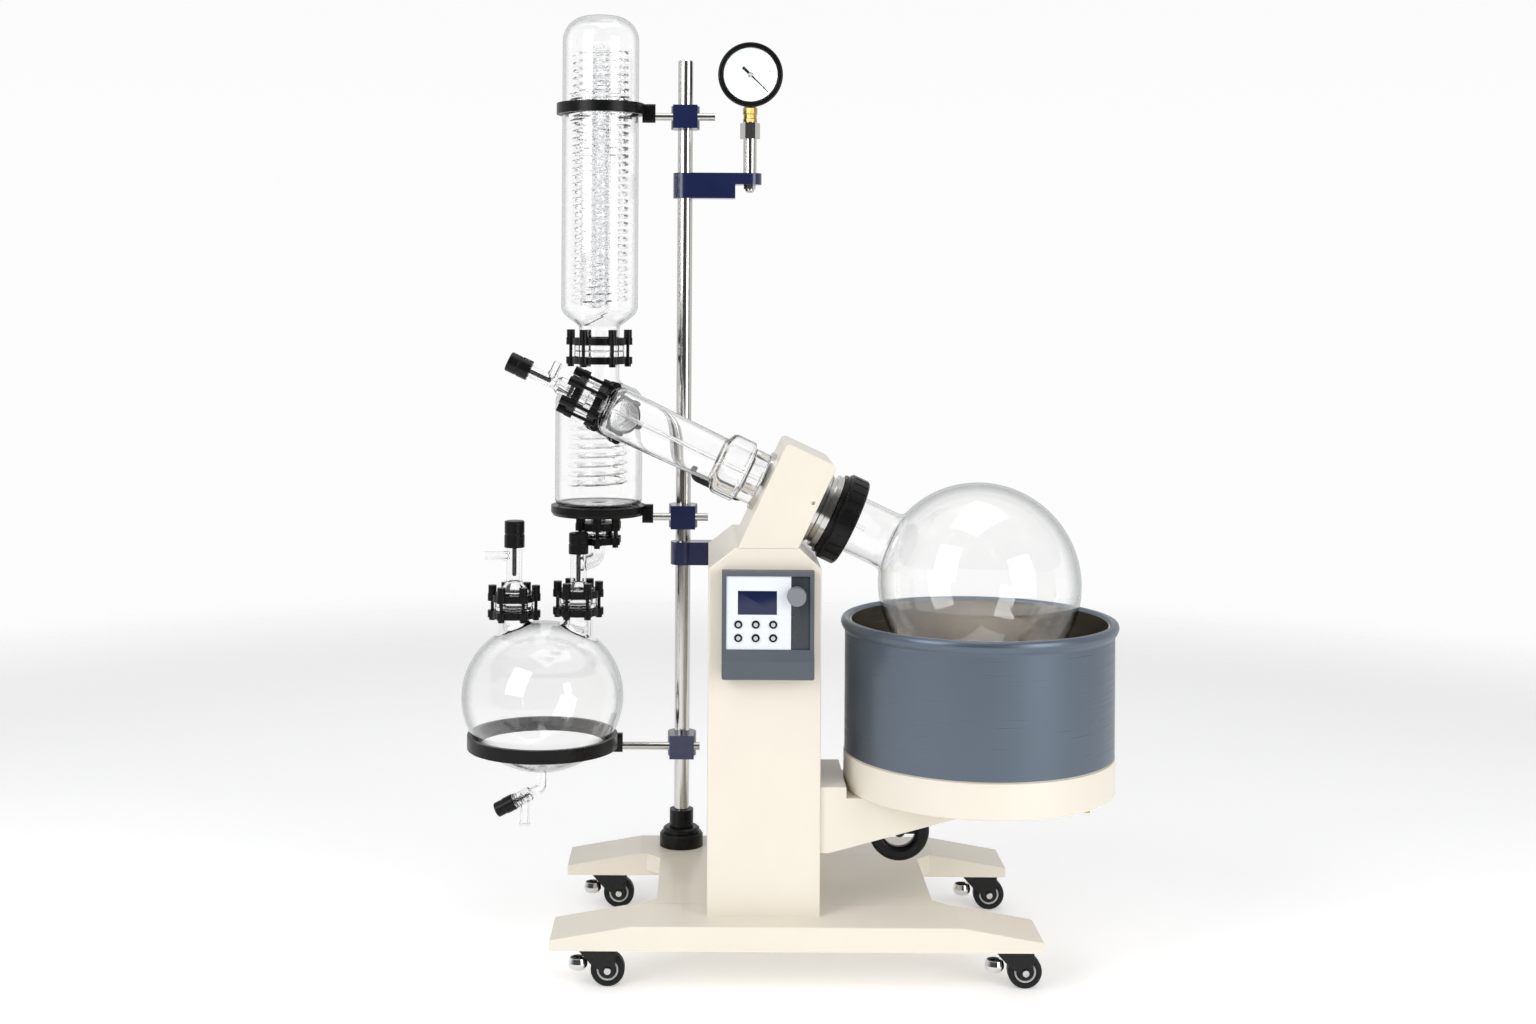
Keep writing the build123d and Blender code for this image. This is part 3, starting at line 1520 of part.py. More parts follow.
# Clamp pairs of the six glass joints: two lobed rings, six bolts with cap nuts.
clamp_table = (
    (Plane.XY.offset(condenser_joint_z), (vessel_x, vessel_y), condenser_joint, 0),
    (Plane.XY.offset(outlet_joint_z), (vessel_x, vessel_y), outlet_joint, 30),
    (Plane.XY.offset(vent_joint_z), (vent_x, receiver_y), vent_joint, 0),
    (Plane.XY.offset(inlet_joint_z), (inlet_x, receiver_y), inlet_joint, 0),
    (rotor_plane(duct_joint_place), (0, 0), duct_joint, 30),
    (branch_plane(branch_joint_place), (0, 0), branch_joint, 0),
)
with BuildPart() as joint_clamps:
    for plane, center, joint, turn in clamp_table:
        half = joint["pitch"] / 2
        lobe_circle = joint["outer"] - clamp_lobe_radius
        for side in (-half, half):
            with BuildSketch(plane.offset(side - clamp_ring_thick / 2)):
                with Locations(center):
                    Circle(joint["body"])
                    with PolarLocations(lobe_circle, clamp_lobes, start_angle=turn):
                        Circle(clamp_lobe_radius)
                    Circle(joint["neck"] + pass_gap, mode=Mode.SUBTRACT)
            extrude(amount=clamp_ring_thick)
        bolt_start = -half - clamp_ring_thick / 2 - clamp_nut_height
        cap_start = half + clamp_ring_thick / 2
        with BuildSketch(plane.offset(bolt_start)):
            with Locations(center):
                with PolarLocations(lobe_circle, clamp_lobes, start_angle=turn):
                    RegularPolygon(clamp_nut_radius, 6)
        extrude(amount=clamp_nut_height)
        with BuildSketch(plane.offset(bolt_start)):
            with Locations(center):
                with PolarLocations(lobe_circle, clamp_lobes, start_angle=turn):
                    Circle(clamp_bolt_radius)
        extrude(amount=cap_start - bolt_start)
        with BuildSketch(plane.offset(cap_start)):
            with Locations(center):
                with PolarLocations(lobe_circle, clamp_lobes, start_angle=turn):
                    Circle(clamp_cap_radius)
        extrude(amount=clamp_cap_height)
joint_clamps.part.label = "joint_clamps"
export_step(joint_clamps.part, "parts/joint_clamps.step")

# Black drain hose from the underside of the duct to its flange.
hose_cos = math.cos(math.radians(180 + hose_turn))
hose_sin = math.sin(math.radians(180 + hose_turn))
hose_rise = (axis_rise[0] * hose_cos, hose_sin, axis_rise[2] * hose_cos)


def hose_point(place, reach):
    return add_vectors(along(flask_center, axis_up, place), along((0, 0, 0), hose_rise, reach))


duct_slope = (duct_end_radius - duct_start_radius) / (duct_end - bell_end)
duct_at_hose = duct_start_radius + (hose_start - bell_end) * duct_slope
hose_top = hose_point(hose_start, duct_at_hose + pass_gap)
with BuildPart() as drain_hose:
    with BuildLine():
        FilletPolyline(
            hose_top,
            hose_point(hose_start, hose_reach),
            hose_point(hose_end, hose_reach),
            hose_point(hose_end, duct_flange_radius + pass_gap),
            radius=hose_bend,
        )
    with BuildSketch(Plane(origin=hose_top, z_dir=hose_rise)):
        Circle(hose_radius)
    sweep()
drain_hose.part.label = "drain_hose"
export_step(drain_hose.part, "parts/drain_hose.step")

# Upright pole and the three cross rods.
receiver_reach = math.sqrt(receiver_ring_radius**2 - (rod_y - receiver_y) ** 2)
condenser_lug_end = vessel_x + condenser_ring_radius + lug_length - 2
vessel_lug_end = vessel_x + vessel_ring_radius + lug_length - 8
receiver_lug_end = receiver_x + receiver_reach + lug_length - 4
rods = (
    (condenser_lug_end, condenser_rod_end, condenser_rod_z),
    (vessel_lug_end, vessel_rod_end, vessel_rod_z),
    (receiver_lug_end, receiver_rod_end, receiver_rod_z),
)
with BuildPart() as stand_rods:
    with BuildSketch(Plane.XY.offset(base_top)):
        with Locations((pole_x, pole_y)):
            Circle(pole_radius)
    extrude(amount=pole_top - base_top)
    chamfer(stand_rods.edges().sort_by(Axis.Z)[-1], 2)
    for start, end, height in rods:
        with BuildSketch(Plane.YZ.offset(start)):
            with Locations((rod_y, height)):
                Circle(rod_radius)
        extrude(amount=end - start)
stand_rods.part.label = "stand_rods"
export_step(stand_rods.part, "parts/stand_rods.step")

# Black foot that holds the pole on the rear beam.
with BuildPart() as pole_foot:
    with BuildSketch(Plane(origin=(pole_x, pole_y, base_top), x_dir=(1, 0, 0), z_dir=(0, -1, 0))):
        Polygon(
            (pole_radius, 0),
            (foot_radius, 0),
            (foot_radius, foot_height - 4),
            (foot_radius - 3, foot_height),
            (foot_step_radius, foot_height),
            (foot_step_radius, foot_height + foot_step_height - 3),
            (foot_step_radius - 4, foot_height + foot_step_height),
            (foot_sleeve_radius, foot_height + foot_step_height),
            (foot_sleeve_radius, foot_height + foot_step_height + foot_sleeve_height),
            (pole_radius, foot_height + foot_step_height + foot_sleeve_height),
            align=None,
        )
    revolve(axis=Axis((pole_x, pole_y, 0), (0, 0, 1)))
pole_foot.part.label = "pole_foot"
export_step(pole_foot.part, "parts/pole_foot.step")

# Blue castings on the pole: three cross clamps, the column bracket, the gauge bracket.
gauge_bracket_length = gauge_x - pole_x
with BuildPart() as pole_clamps:
    for start, end, height in rods:
        with BuildSketch(Plane.XY.offset(height - clamp_barrel_height / 2)):
            with Locations((pole_x, pole_y)):
                Circle(clamp_barrel_radius)
            with Locations((pole_x, (clamp_front + pole_y) / 2)):
                Rectangle(2 * clamp_barrel_radius - 8, pole_y - clamp_front)
        extrude(amount=clamp_barrel_height)
    bracket_front = cover_back
    with BuildSketch(Plane.XY.offset(pole_bracket_z)):
        with Locations((pole_x, pole_y)):
            Circle(pole_bracket_width / 2 + 3)
        with Locations(((pole_x + pole_bracket_right) / 2, pole_y)):
            Rectangle(pole_bracket_right - pole_x, pole_bracket_width)
        with Locations(
            (
                pole_bracket_right - pole_bracket_width / 2,
                (bracket_front + pole_y) / 2,
            )
        ):
            Rectangle(pole_bracket_width, pole_y - bracket_front)
    extrude(amount=pole_bracket_height)
    with BuildSketch(Plane.XY.offset(gauge_plate_z)):
        with Locations(((pole_x + gauge_x) / 2, pole_y)):
            SlotCenterToCenter(gauge_bracket_length, gauge_bracket_width)
    extrude(amount=gauge_plate_height)
    with BuildSketch(Plane.XY.offset(gauge_block_z)):
        with Locations((pole_x, pole_y)):
            Circle(gauge_bracket_width / 2)
        with Locations(((pole_x + gauge_block_right) / 2, pole_y)):
            Rectangle(gauge_block_right - pole_x, gauge_bracket_width)
    extrude(amount=gauge_plate_z - gauge_block_z)
    with BuildSketch(Plane.XY.offset(base_top)):
        with Locations((pole_x, pole_y)):
            Circle(pole_radius)
    extrude(amount=pole_top - base_top, mode=Mode.SUBTRACT)
    for start, end, height in rods:
        with BuildSketch(Plane.YZ.offset(start)):
            with Locations((rod_y, height)):
                Circle(rod_radius)
        extrude(amount=end - start, mode=Mode.SUBTRACT)
pole_clamps.part.label = "pole_clamps"
export_step(pole_clamps.part, "parts/pole_clamps.step")

# Black support rings, each with a lug that takes its rod.
with BuildPart() as support_rings:
    with BuildSketch(vessel_side):
        Polygon(
            (condenser_radius + seal_gap / 2, condenser_ring_z),
            (condenser_ring_radius, condenser_ring_z),
            (condenser_ring_radius, condenser_ring_z + condenser_ring_height),
            (condenser_radius + seal_gap / 2, condenser_ring_z + condenser_ring_height),
            align=None,
        )
        Polygon(
            (vessel_ring_bore, vessel_bottom - vessel_ring_height),
            (vessel_ring_radius - 4, vessel_bottom - vessel_ring_height),
            (vessel_ring_radius, vessel_bottom - vessel_ring_height + 6),
            (vessel_ring_radius, vessel_bottom),
            (vessel_ring_bore, vessel_bottom),
            align=None,
        )
    revolve(axis=vessel_axis)
    with BuildSketch(receiver_back):
        with Locations(
            (
                (receiver_ring_bore + receiver_ring_radius) / 2,
                receiver_ring_z + receiver_ring_height / 2,
            )
        ):
            Rectangle(receiver_ring_radius - receiver_ring_bore, receiver_ring_height)
        add(receiver_oval(pass_gap).sketch_local, mode=Mode.SUBTRACT)
    revolve(axis=receiver_axis)
    for lug_end, lug_base, lug_y, rod_z in (
        (condenser_lug_end, vessel_x + condenser_ring_radius - 4, vessel_y, condenser_rod_z),
        (vessel_lug_end, vessel_x + vessel_ring_radius - 6, vessel_y, vessel_rod_z),
        (receiver_lug_end, receiver_x + receiver_reach - 4, rod_y, receiver_rod_z),
    ):
        with BuildSketch(Plane.YZ.offset(lug_base)):
            with Locations((rod_y, rod_z + 6)):
                RectangleRounded(lug_width, lug_height, 5)
        extrude(amount=lug_end - lug_base)
support_rings.part.label = "support_rings"
export_step(support_rings.part, "parts/support_rings.step")

# Gauge stem: acorn nut, tube, hex coupling and the fitting under the gauge.
gauge_bottom = gauge_z - gauge_body_radius
bracket_top = gauge_plate_z + gauge_plate_height
with BuildPart() as gauge_stem:
    with BuildSketch(Plane.XY.offset(bracket_top)):
        with Locations((gauge_x, pole_y)):
            Circle(stem_tube_radius)
    extrude(amount=coupling_z - bracket_top)
    with BuildSketch(Plane.XY.offset(coupling_z)):
        with Locations((gauge_x, pole_y)):
            RegularPolygon(coupling_across / 2, 6, major_radius=False)
    extrude(amount=coupling_height)
    chamfer(gauge_stem.edges().group_by(Axis.Z)[-1], 1.5)
    with BuildSketch(Plane.XY.offset(coupling_z + coupling_height)):
        with Locations((gauge_x, pole_y)):
            Circle(fitting_radius)
    extrude(amount=gauge_bottom + 2 - coupling_z - coupling_height)
    with BuildSketch(Plane.XY.offset(gauge_plate_z)):
        with Locations((gauge_x, pole_y)):
            RegularPolygon(acorn_across / 2, 6, major_radius=False)
    extrude(amount=-8)
    with BuildSketch(Plane.XY.offset(gauge_plate_z - 8)):
        with Locations((gauge_x, pole_y)):
            Circle(acorn_across / 2 - 1)
    extrude(amount=-7)
    fillet(gauge_stem.edges().sort_by(Axis.Z)[0], 6)
    with BuildSketch(front_plane(gauge_front)):
        with Locations((gauge_x, gauge_z)):
            Circle(gauge_body_radius)
    extrude(amount=-gauge_depth, mode=Mode.SUBTRACT)
    with BuildSketch(front_plane(gauge_front)):
        with Locations((gauge_x, gauge_z)):
            Circle(gauge_radius)
    extrude(amount=-bezel_depth, mode=Mode.SUBTRACT)
gauge_stem.part.label = "gauge_stem"
export_step(gauge_stem.part, "parts/gauge_stem.step")

# Gauge case with its bezel, dial floor and the needle's pin.
gauge_side = Plane(origin=(gauge_x, gauge_front, gauge_z), x_dir=(0, 1, 0), z_dir=(1, 0, 0))
gauge_axis = Axis((gauge_x, gauge_front, gauge_z), (0, 1, 0))
with BuildPart() as gauge_case:
    with BuildSketch(gauge_side) as section:
        Polygon(
            (dial_recess, 0),
            (dial_recess, dial_radius),
            (2, dial_radius),
            (0, dial_radius + 2),
            (0, gauge_radius),
            (bezel_depth, gauge_radius),
            (bezel_depth, gauge_body_radius),
            (gauge_depth, gauge_body_radius),
            (gauge_depth, 0),
            align=None,
        )
        fillet(section.vertices().sort_by_distance((0, gauge_radius))[0], 4)
        fillet(section.vertices().sort_by_distance((gauge_depth, gauge_body_radius))[0], 8)
    revolve(axis=gauge_axis)
    with BuildSketch(front_plane(gauge_front + dial_recess)):
        with Locations((gauge_x, gauge_z)):
            Circle(needle_pin_radius)
    extrude(amount=dial_recess - 3)
gauge_case.part.label = "gauge_case"
export_step(gauge_case.part, "parts/gauge_case.step")

# Gauge needle on its pin, pointing to the lower right at rest.
needle_plane = Plane(
    origin=(gauge_x, gauge_front + dial_recess - pass_gap, gauge_z),
    x_dir=(math.cos(math.radians(needle_rest)), 0, math.sin(math.radians(needle_rest))),
    z_dir=(0, -1, 0),
)
with BuildPart() as gauge_needle:
    with BuildSketch(needle_plane):
        Circle(needle_hub_radius)
        Polygon((0, 1.6), (0, -1.6), (needle_length, -0.5), (needle_length, 0.5), align=None)
        Polygon(
            (0, -2.2),
            (0, 2.2),
            (-needle_tail, 3),
            (-needle_tail, -3),
            align=None,
        )
        Circle(needle_pin_radius + run_gap, mode=Mode.SUBTRACT)
    extrude(amount=needle_thick)
gauge_needle.part.label = "gauge_needle"
export_step(gauge_needle.part, "parts/gauge_needle.step")

# Bath: outer can with a rolled rim.
bath_axis = Axis((flask_x, rotor_y, 0), (0, 0, 1))
bath_side = Plane(origin=(flask_x, rotor_y, 0), x_dir=(1, 0, 0), z_dir=(0, -1, 0))
rim_top = bath_rim_z + bath_rim_height
with BuildPart() as bath_can:
    with BuildSketch(bath_side) as section:
        Polygon(
            (bath_radius - bath_wall, bath_bottom),
            (bath_radius, bath_bottom),
            (bath_radius, bath_rim_z),
            (bath_rim_radius, bath_rim_z),
            (bath_rim_radius, rim_top),
            (tub_radius, rim_top),
            (tub_radius, bath_rim_z),
            (bath_radius - bath_wall, bath_rim_z),
            align=None,
        )
        fillet(section.vertices().sort_by_distance((bath_rim_radius, rim_top))[0], 8)
        fillet(section.vertices().sort_by_distance((bath_rim_radius, bath_rim_z))[0], 4)
        fillet(section.vertices().sort_by_distance((tub_radius, rim_top))[0], 5)
    revolve(axis=bath_axis)
bath_can.part.label = "bath_can"
export_step(bath_can.part, "parts/bath_can.step")

# Bright inner tub standing on the pan's spigot, with heater rings under its floor.
with BuildPart() as bath_tub:
    for inset, mode in ((0, Mode.ADD), (tub_wall, Mode.SUBTRACT)):
        with BuildSketch(bath_side) as section:
            Polygon(
                (0, tub_bottom + inset),
                (tub_radius - inset, tub_bottom + inset),
                (tub_radius - inset, rim_top - 5 + inset),
                (0, rim_top - 5 + inset),
                align=None,
            )
            corner = (tub_radius - inset, tub_bottom + inset)
            fillet(section.vertices().sort_by_distance(corner)[0], tub_corner - inset)
        revolve(axis=bath_axis, mode=mode)
    with BuildSketch(Plane.XY.offset(tub_bottom)):
        with Locations((flask_x, rotor_y)):
            for radius in heater_radii:
                Circle(radius + heater_tube)
                Circle(radius - heater_tube, mode=Mode.SUBTRACT)
    extrude(amount=-2 * heater_tube)
bath_tub.part.label = "bath_tub"
export_step(bath_tub.part, "parts/bath_tub.step")

# Hollow base pan with a spigot that carries the can and the tub.
with BuildPart() as bath_pan:
    spigot_radius = bath_radius - bath_wall - pass_gap
    with BuildSketch(bath_side) as section:
        Polygon(
            (0, pan_bottom),
            (pan_radius, pan_bottom),
            (pan_radius, pan_top),
            (spigot_radius, pan_top),
            (spigot_radius, tub_bottom),
            (spigot_radius - pan_spigot_wall, tub_bottom),
            (spigot_radius - pan_spigot_wall, pan_bottom + pan_floor),
            (0, pan_bottom + pan_floor),
            align=None,
        )
        fillet(section.vertices().sort_by_distance((pan_radius, pan_top))[0], pan_edge)
        fillet(section.vertices().sort_by_distance((pan_radius, pan_bottom))[0], pan_edge)
    revolve(axis=bath_axis)
bath_pan.part.label = "bath_pan"
export_step(bath_pan.part, "parts/bath_pan.step")

# Brass drain nipple under the pan.
with BuildPart() as bath_nipple:
    with BuildSketch(Plane.XY.offset(pan_bottom)):
        with Locations((nipple_x, nipple_y)):
            RegularPolygon(brass_flange_radius, 6)
    extrude(amount=-brass_flange_height)
    with BuildSketch(Plane.XY.offset(pan_bottom)):
        with Locations((nipple_x, nipple_y)):
            Circle(brass_radius)
    extrude(amount=-brass_length)
    with BuildSketch(Plane.XY.offset(pan_bottom - brass_length)):
        with Locations((nipple_x, nipple_y)):
            Circle(brass_bore)
    extrude(amount=brass_length - 1, mode=Mode.SUBTRACT)
bath_nipple.part.label = "bath_nipple"
export_step(bath_nipple.part, "parts/bath_nipple.step")

# Lifting arm: a hollow wedge with its tongue and carriage inside the column.
arm_left = column_right + slide_gap
arm_points = [
    (arm_left, arm_root_bottom),
    (arm_flat_x, arm_root_bottom),
    (arm_tip_x, pan_bottom - arm_tip_height),
    (arm_tip_x, pan_bottom),
    (arm_step_x, pan_bottom),
    (arm_step_x, arm_root_top),
    (arm_left, arm_root_top),
]
pocket_points = [
    (arm_pocket_start, arm_root_bottom - 10),
    (arm_pocket_end, arm_root_bottom - 10),
    (arm_pocket_end, pan_bottom - arm_wall),
    (arm_pocket_start, pan_bottom - arm_wall),
]
guide_x = (carriage_left + carriage_right) / 2 + 1
guide_ys = (rotor_y - guide_spacing / 2, rotor_y + guide_spacing / 2)
hanger_front = rotor_y + handwheel_width / 2 + slide_gap
with BuildPart() as lift_arm:
    with BuildSketch(front_plane(rotor_y)):
        Polygon(*arm_points, align=None)
    extrude(amount=arm_width / 2, both=True)
    with BuildSketch(front_plane(rotor_y)):
        Polygon(*pocket_points, align=None)
    extrude(amount=arm_width / 2 - arm_wall, both=True, mode=Mode.SUBTRACT)
    with BuildSketch(front_plane(rotor_y)):
        with Locations(((carriage_right + arm_left) / 2 - 1, (tongue_bottom + tongue_top) / 2)):
            Rectangle(arm_left - carriage_right + 8, tongue_top - tongue_bottom)
    extrude(amount=tongue_width / 2, both=True)
    with BuildSketch(front_plane(rotor_y)):
        with Locations(((carriage_left + carriage_right) / 2, (carriage_bottom + carriage_top) / 2)):
            Rectangle(carriage_right - carriage_left, carriage_top - carriage_bottom)
    extrude(amount=carriage_width / 2, both=True)
    with BuildSketch(Plane.XY.offset(carriage_bottom)):
        with Locations(*[(guide_x, guide_y) for guide_y in guide_ys]):
            Circle(guide_radius + run_gap)
        with Locations((guide_x, rotor_y)):
            Circle(screw_radius + run_gap)
    extrude(amount=carriage_top - carriage_bottom, mode=Mode.SUBTRACT)
    with BuildSketch(front_plane(hanger_front)):
        with Locations((wheel_hub_x, wheel_hub_z)):
            Circle(hanger_radius)
        hanger_top = pan_bottom - arm_wall + 1
        with Locations((wheel_hub_x, (wheel_hub_z + hanger_top) / 2)):
            Rectangle(2 * hanger_radius, hanger_top - wheel_hub_z)
        with Locations((wheel_hub_x, wheel_hub_z)):
            Circle(handwheel_shaft + run_gap, mode=Mode.SUBTRACT)
    extrude(amount=-hanger_thick)
lift_arm.part.label = "lift_arm"
export_step(lift_arm.part, "parts/lift_arm.step")

# Guide rods and lift screw between two end blocks inside the column.
floor_z = base_top + column_wall
block_right = column_right - column_wall
with BuildPart() as lift_guides:
    for block_z in (floor_z, guide_top - guide_block_height):
        with BuildSketch(Plane.XY.offset(block_z)):
            with Locations(((carriage_left + block_right) / 2, rotor_y)):
                Rectangle(block_right - carriage_left, guide_block_width)
        extrude(amount=guide_block_height)
    with BuildSketch(Plane.XY.offset(floor_z)):
        with Locations(*[(guide_x, guide_y) for guide_y in guide_ys]):
            Circle(guide_radius)
        with Locations((guide_x, rotor_y)):
            Circle(screw_radius)
    extrude(amount=guide_top - floor_z)
lift_guides.part.label = "lift_guides"
export_step(lift_guides.part, "parts/lift_guides.step")

# Black handwheel with two spokes on a short shaft under the arm.
wheel_plane = front_plane(rotor_y)
with BuildPart() as handwheel:
    rim_middle = (handwheel_radius + handwheel_inner) / 2
    with BuildSketch(Plane(origin=(wheel_hub_x, rotor_y, wheel_hub_z), x_dir=(1, 0, 0), z_dir=(0, 0, 1))):
        with Locations((rim_middle, 0)):
            RectangleRounded(handwheel_radius - handwheel_inner, handwheel_width, 8)
    revolve(axis=Axis((wheel_hub_x, rotor_y, wheel_hub_z), (0, 1, 0)))
    with BuildSketch(wheel_plane):
        with Locations((wheel_hub_x, wheel_hub_z)):
            Rectangle(2 * handwheel_inner + 6, spoke_height)
    extrude(amount=spoke_width / 2, both=True)
    with BuildSketch(wheel_plane):
        with Locations((wheel_hub_x, wheel_hub_z)):
            Circle(handwheel_hub)
    extrude(amount=handwheel_width / 2, both=True)
    with BuildSketch(wheel_plane):
        with Locations((wheel_hub_x, wheel_hub_z)):
            Circle(handwheel_shaft)
    extrude(amount=-handwheel_width / 2 - slide_gap - hanger_thick)
handwheel.part.label = "handwheel"
export_step(handwheel.part, "parts/handwheel.step")

# Control box: side profile with a wedge-shaped chin and a recess for the face.
box_front = column_front - box_depth
chin_front = column_front - chin_depth
recess_floor = box_front + recess_depth
button_pocket = 7
with BuildPart() as control_box:
    with BuildSketch(Plane.YZ.offset(box_left)):
        Polygon(
            (column_front, box_bottom),
            (column_front, box_top),
            (box_front + 4, box_top),
            (box_front, box_top - 5),
            (box_front, chin_top),
            (chin_front, chin_edge),
            (chin_front, box_bottom + 3),
            (chin_front + 3, box_bottom),
            align=None,
        )
    extrude(amount=box_right - box_left)
    fillet(control_box.edges().filter_by(Axis.Y).group_by(SortBy.LENGTH)[-1], 4)
    with BuildSketch(front_plane(box_front)):
        with Locations(((recess_left + recess_right) / 2, (recess_bottom + recess_top) / 2)):
            Rectangle(recess_right - recess_left, recess_top - recess_bottom)
    extrude(amount=-recess_depth, mode=Mode.SUBTRACT)
    with BuildSketch(front_plane(recess_floor)):
        with Locations(*[(x, z) for x in button_columns for z in button_rows]):
            Circle(button_radius + button_flange + pass_gap)
    extrude(amount=-button_pocket, mode=Mode.SUBTRACT)
    with BuildSketch(front_plane(recess_floor)):
        with Locations((knob_x, knob_z)):
            Circle(knob_shaft + run_gap)
    extrude(amount=-10, mode=Mode.SUBTRACT)
control_box.part.label = "control_box"
export_step(control_box.part, "parts/control_box.step")

# White face plate with a display window and holes for the buttons.
with BuildPart() as panel_face:
    with BuildSketch(front_plane(recess_floor)):
        face_left = recess_left + pass_gap
        with Locations(((face_left + face_right) / 2, (recess_bottom + recess_top) / 2)):
            Rectangle(face_right - face_left, recess_top - recess_bottom - 2 * pass_gap)
        with Locations(((window_left + window_right) / 2, (window_bottom + window_top) / 2)):
            Rectangle(window_right - window_left, window_top - window_bottom, mode=Mode.SUBTRACT)
        with Locations(*[(x, z) for x in button_columns for z in button_rows]):
            Circle(button_radius + pass_gap, mode=Mode.SUBTRACT)
        with Locations((knob_x, knob_z)):
            Circle(knob_shaft + 3, mode=Mode.SUBTRACT)
    extrude(amount=face_thick)
panel_face.part.label = "panel_face"
export_step(panel_face.part, "parts/panel_face.step")

# Six push buttons, each held behind the face by a thin flange.
number = 0
for z in button_rows:
    for x in button_columns:
        number += 1
        with BuildPart() as button:
            with BuildSketch(front_plane(recess_floor + pass_gap)):
                with Locations((x, z)):
                    Circle(button_radius)
            extrude(amount=pass_gap + face_thick + button_rise)
            chamfer(button.edges().sort_by(Axis.Y)[0], 0.6)
            with BuildSketch(front_plane(recess_floor + pass_gap)):
                with Locations((x, z)):
                    Circle(button_radius + button_flange)
            extrude(amount=-button_flange)
        button.part.label = f"button_{number}"
        export_step(button.part, f"parts/button_{number}.step")

# Grey speed knob with a slightly conical grip and a shaft.
face_front = recess_floor - face_thick
with BuildPart() as speed_knob:
    knob_side = Plane(origin=(knob_x, face_front - slide_gap, knob_z), x_dir=(0, -1, 0), z_dir=(1, 0, 0))
    with BuildSketch(knob_side) as section:
        Polygon(
            (-face_thick - slide_gap - 9, 0),
            (-face_thick - slide_gap - 9, knob_shaft),
            (0, knob_shaft),
            (0, knob_radius),
            (knob_height, knob_radius - 1),
            (knob_height, 0),
            align=None,
        )
        fillet(section.vertices().sort_by_distance((knob_height, knob_radius - 1))[0], 1.5)
    revolve(axis=Axis((knob_x, face_front, knob_z), (0, 1, 0)))
speed_knob.part.label = "speed_knob"
export_step(speed_knob.part, "parts/speed_knob.step")
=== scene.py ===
import math

import bmesh
import bpy
import numpy as np
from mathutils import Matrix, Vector


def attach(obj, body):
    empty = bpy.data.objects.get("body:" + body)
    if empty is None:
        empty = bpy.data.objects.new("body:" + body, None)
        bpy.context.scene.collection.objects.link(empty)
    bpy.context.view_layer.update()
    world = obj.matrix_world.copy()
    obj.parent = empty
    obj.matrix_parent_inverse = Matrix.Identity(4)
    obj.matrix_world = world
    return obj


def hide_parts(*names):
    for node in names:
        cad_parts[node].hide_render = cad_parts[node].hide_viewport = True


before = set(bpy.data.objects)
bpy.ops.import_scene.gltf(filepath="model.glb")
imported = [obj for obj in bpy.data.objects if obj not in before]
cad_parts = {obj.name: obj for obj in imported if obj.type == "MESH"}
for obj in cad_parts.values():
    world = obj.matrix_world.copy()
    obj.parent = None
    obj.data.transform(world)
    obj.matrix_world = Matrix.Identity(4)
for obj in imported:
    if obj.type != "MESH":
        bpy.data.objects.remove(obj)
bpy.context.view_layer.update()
print("frame loaded")

mm = 0.001
tiltAngle = math.radians(25)
axisUp = np.array([-math.cos(tiltAngle), 0.0, math.sin(tiltAngle)])
axisRise = np.array([math.sin(tiltAngle), 0.0, math.cos(tiltAngle)])
flaskCenter = np.array([338.0, -80.0, 648.5])


# Places: an origin and three directions. Shapes are worked out in a place's own
# millimetres and carried to the machine's millimetres by toWorld.
def makePlace(origin, along, side=(1, 0, 0)):
    along = np.asarray(along, float)
    along = along / np.linalg.norm(along)
    side = np.asarray(side, float)
    side = side - along * (side @ along)
    side = side / np.linalg.norm(side)
    return np.asarray(origin, float), np.stack([side, np.cross(along, side), along])


def toWorld(points, place):
    origin, axes = place
    return points @ axes + origin


def upright(x, y, z=0.0):
    return makePlace((x, y, z), (0, 0, 1))


def facing(x, y, z):
    # Local x right, y up, z towards the operator.
    return makePlace((x, y, z), (0, -1, 0), (1, 0, 0))


def rotorPoint(distance, rise=0.0):
    return flaskCenter + axisUp * distance + axisRise * rise


rotorPlace = makePlace(flaskCenter, axisUp, axisRise)
branchDistance = 660
branchStart = rotorPoint(branchDistance)
vesselAxis = np.array([-324.0, 199.0])
branchWay = np.array([vesselAxis[0], vesselAxis[1], branchStart[2]]) - branchStart
branchLength = float(np.linalg.norm(branchWay))
branchPlace = makePlace(branchStart, branchWay, (0, 0, 1))


# Shapes
def roundLoop(corners, closed=True, turnStep=14):
    # Replaces each corner that has a radius by an arc tangent to both its sides.
    out = []
    count = len(corners)
    for index, corner in enumerate(corners):
        point = np.array(corner[:2], float)
        radius = corner[2] if len(corner) > 2 else 0
        if radius <= 0 or (not closed and index in (0, count - 1)):
            out.append(point)
            continue
        before = np.array(corners[index - 1][:2], float) - point
        after = np.array(corners[(index + 1) % count][:2], float) - point
        before /= np.linalg.norm(before)
        after /= np.linalg.norm(after)
        opening = math.acos(float(np.clip(before @ after, -1, 1)))
        middle = (before + after) / np.linalg.norm(before + after)
        center = point + middle * radius / math.sin(opening / 2)
        start = point + before * radius / math.tan(opening / 2) - center
        first = math.atan2(start[1], start[0])
        end = point + after * radius / math.tan(opening / 2) - center
        turn = (math.atan2(end[1], end[0]) - first + math.pi) % (2 * math.pi) - math.pi
        steps = max(2, int(abs(math.degrees(turn)) / turnStep) + 1)
        angles = first + turn * np.linspace(0, 1, steps + 1)
        out.extend(center + radius * np.stack([np.cos(angles), np.sin(angles)], 1))
    return np.array(out)


def arcLine(center, radius, start, stop, steps):
    # Points on a circle between two angles in degrees.
    angles = np.radians(np.linspace(start, stop, steps))
    return np.array(center) + radius * np.stack([np.cos(angles), np.sin(angles)], 1)


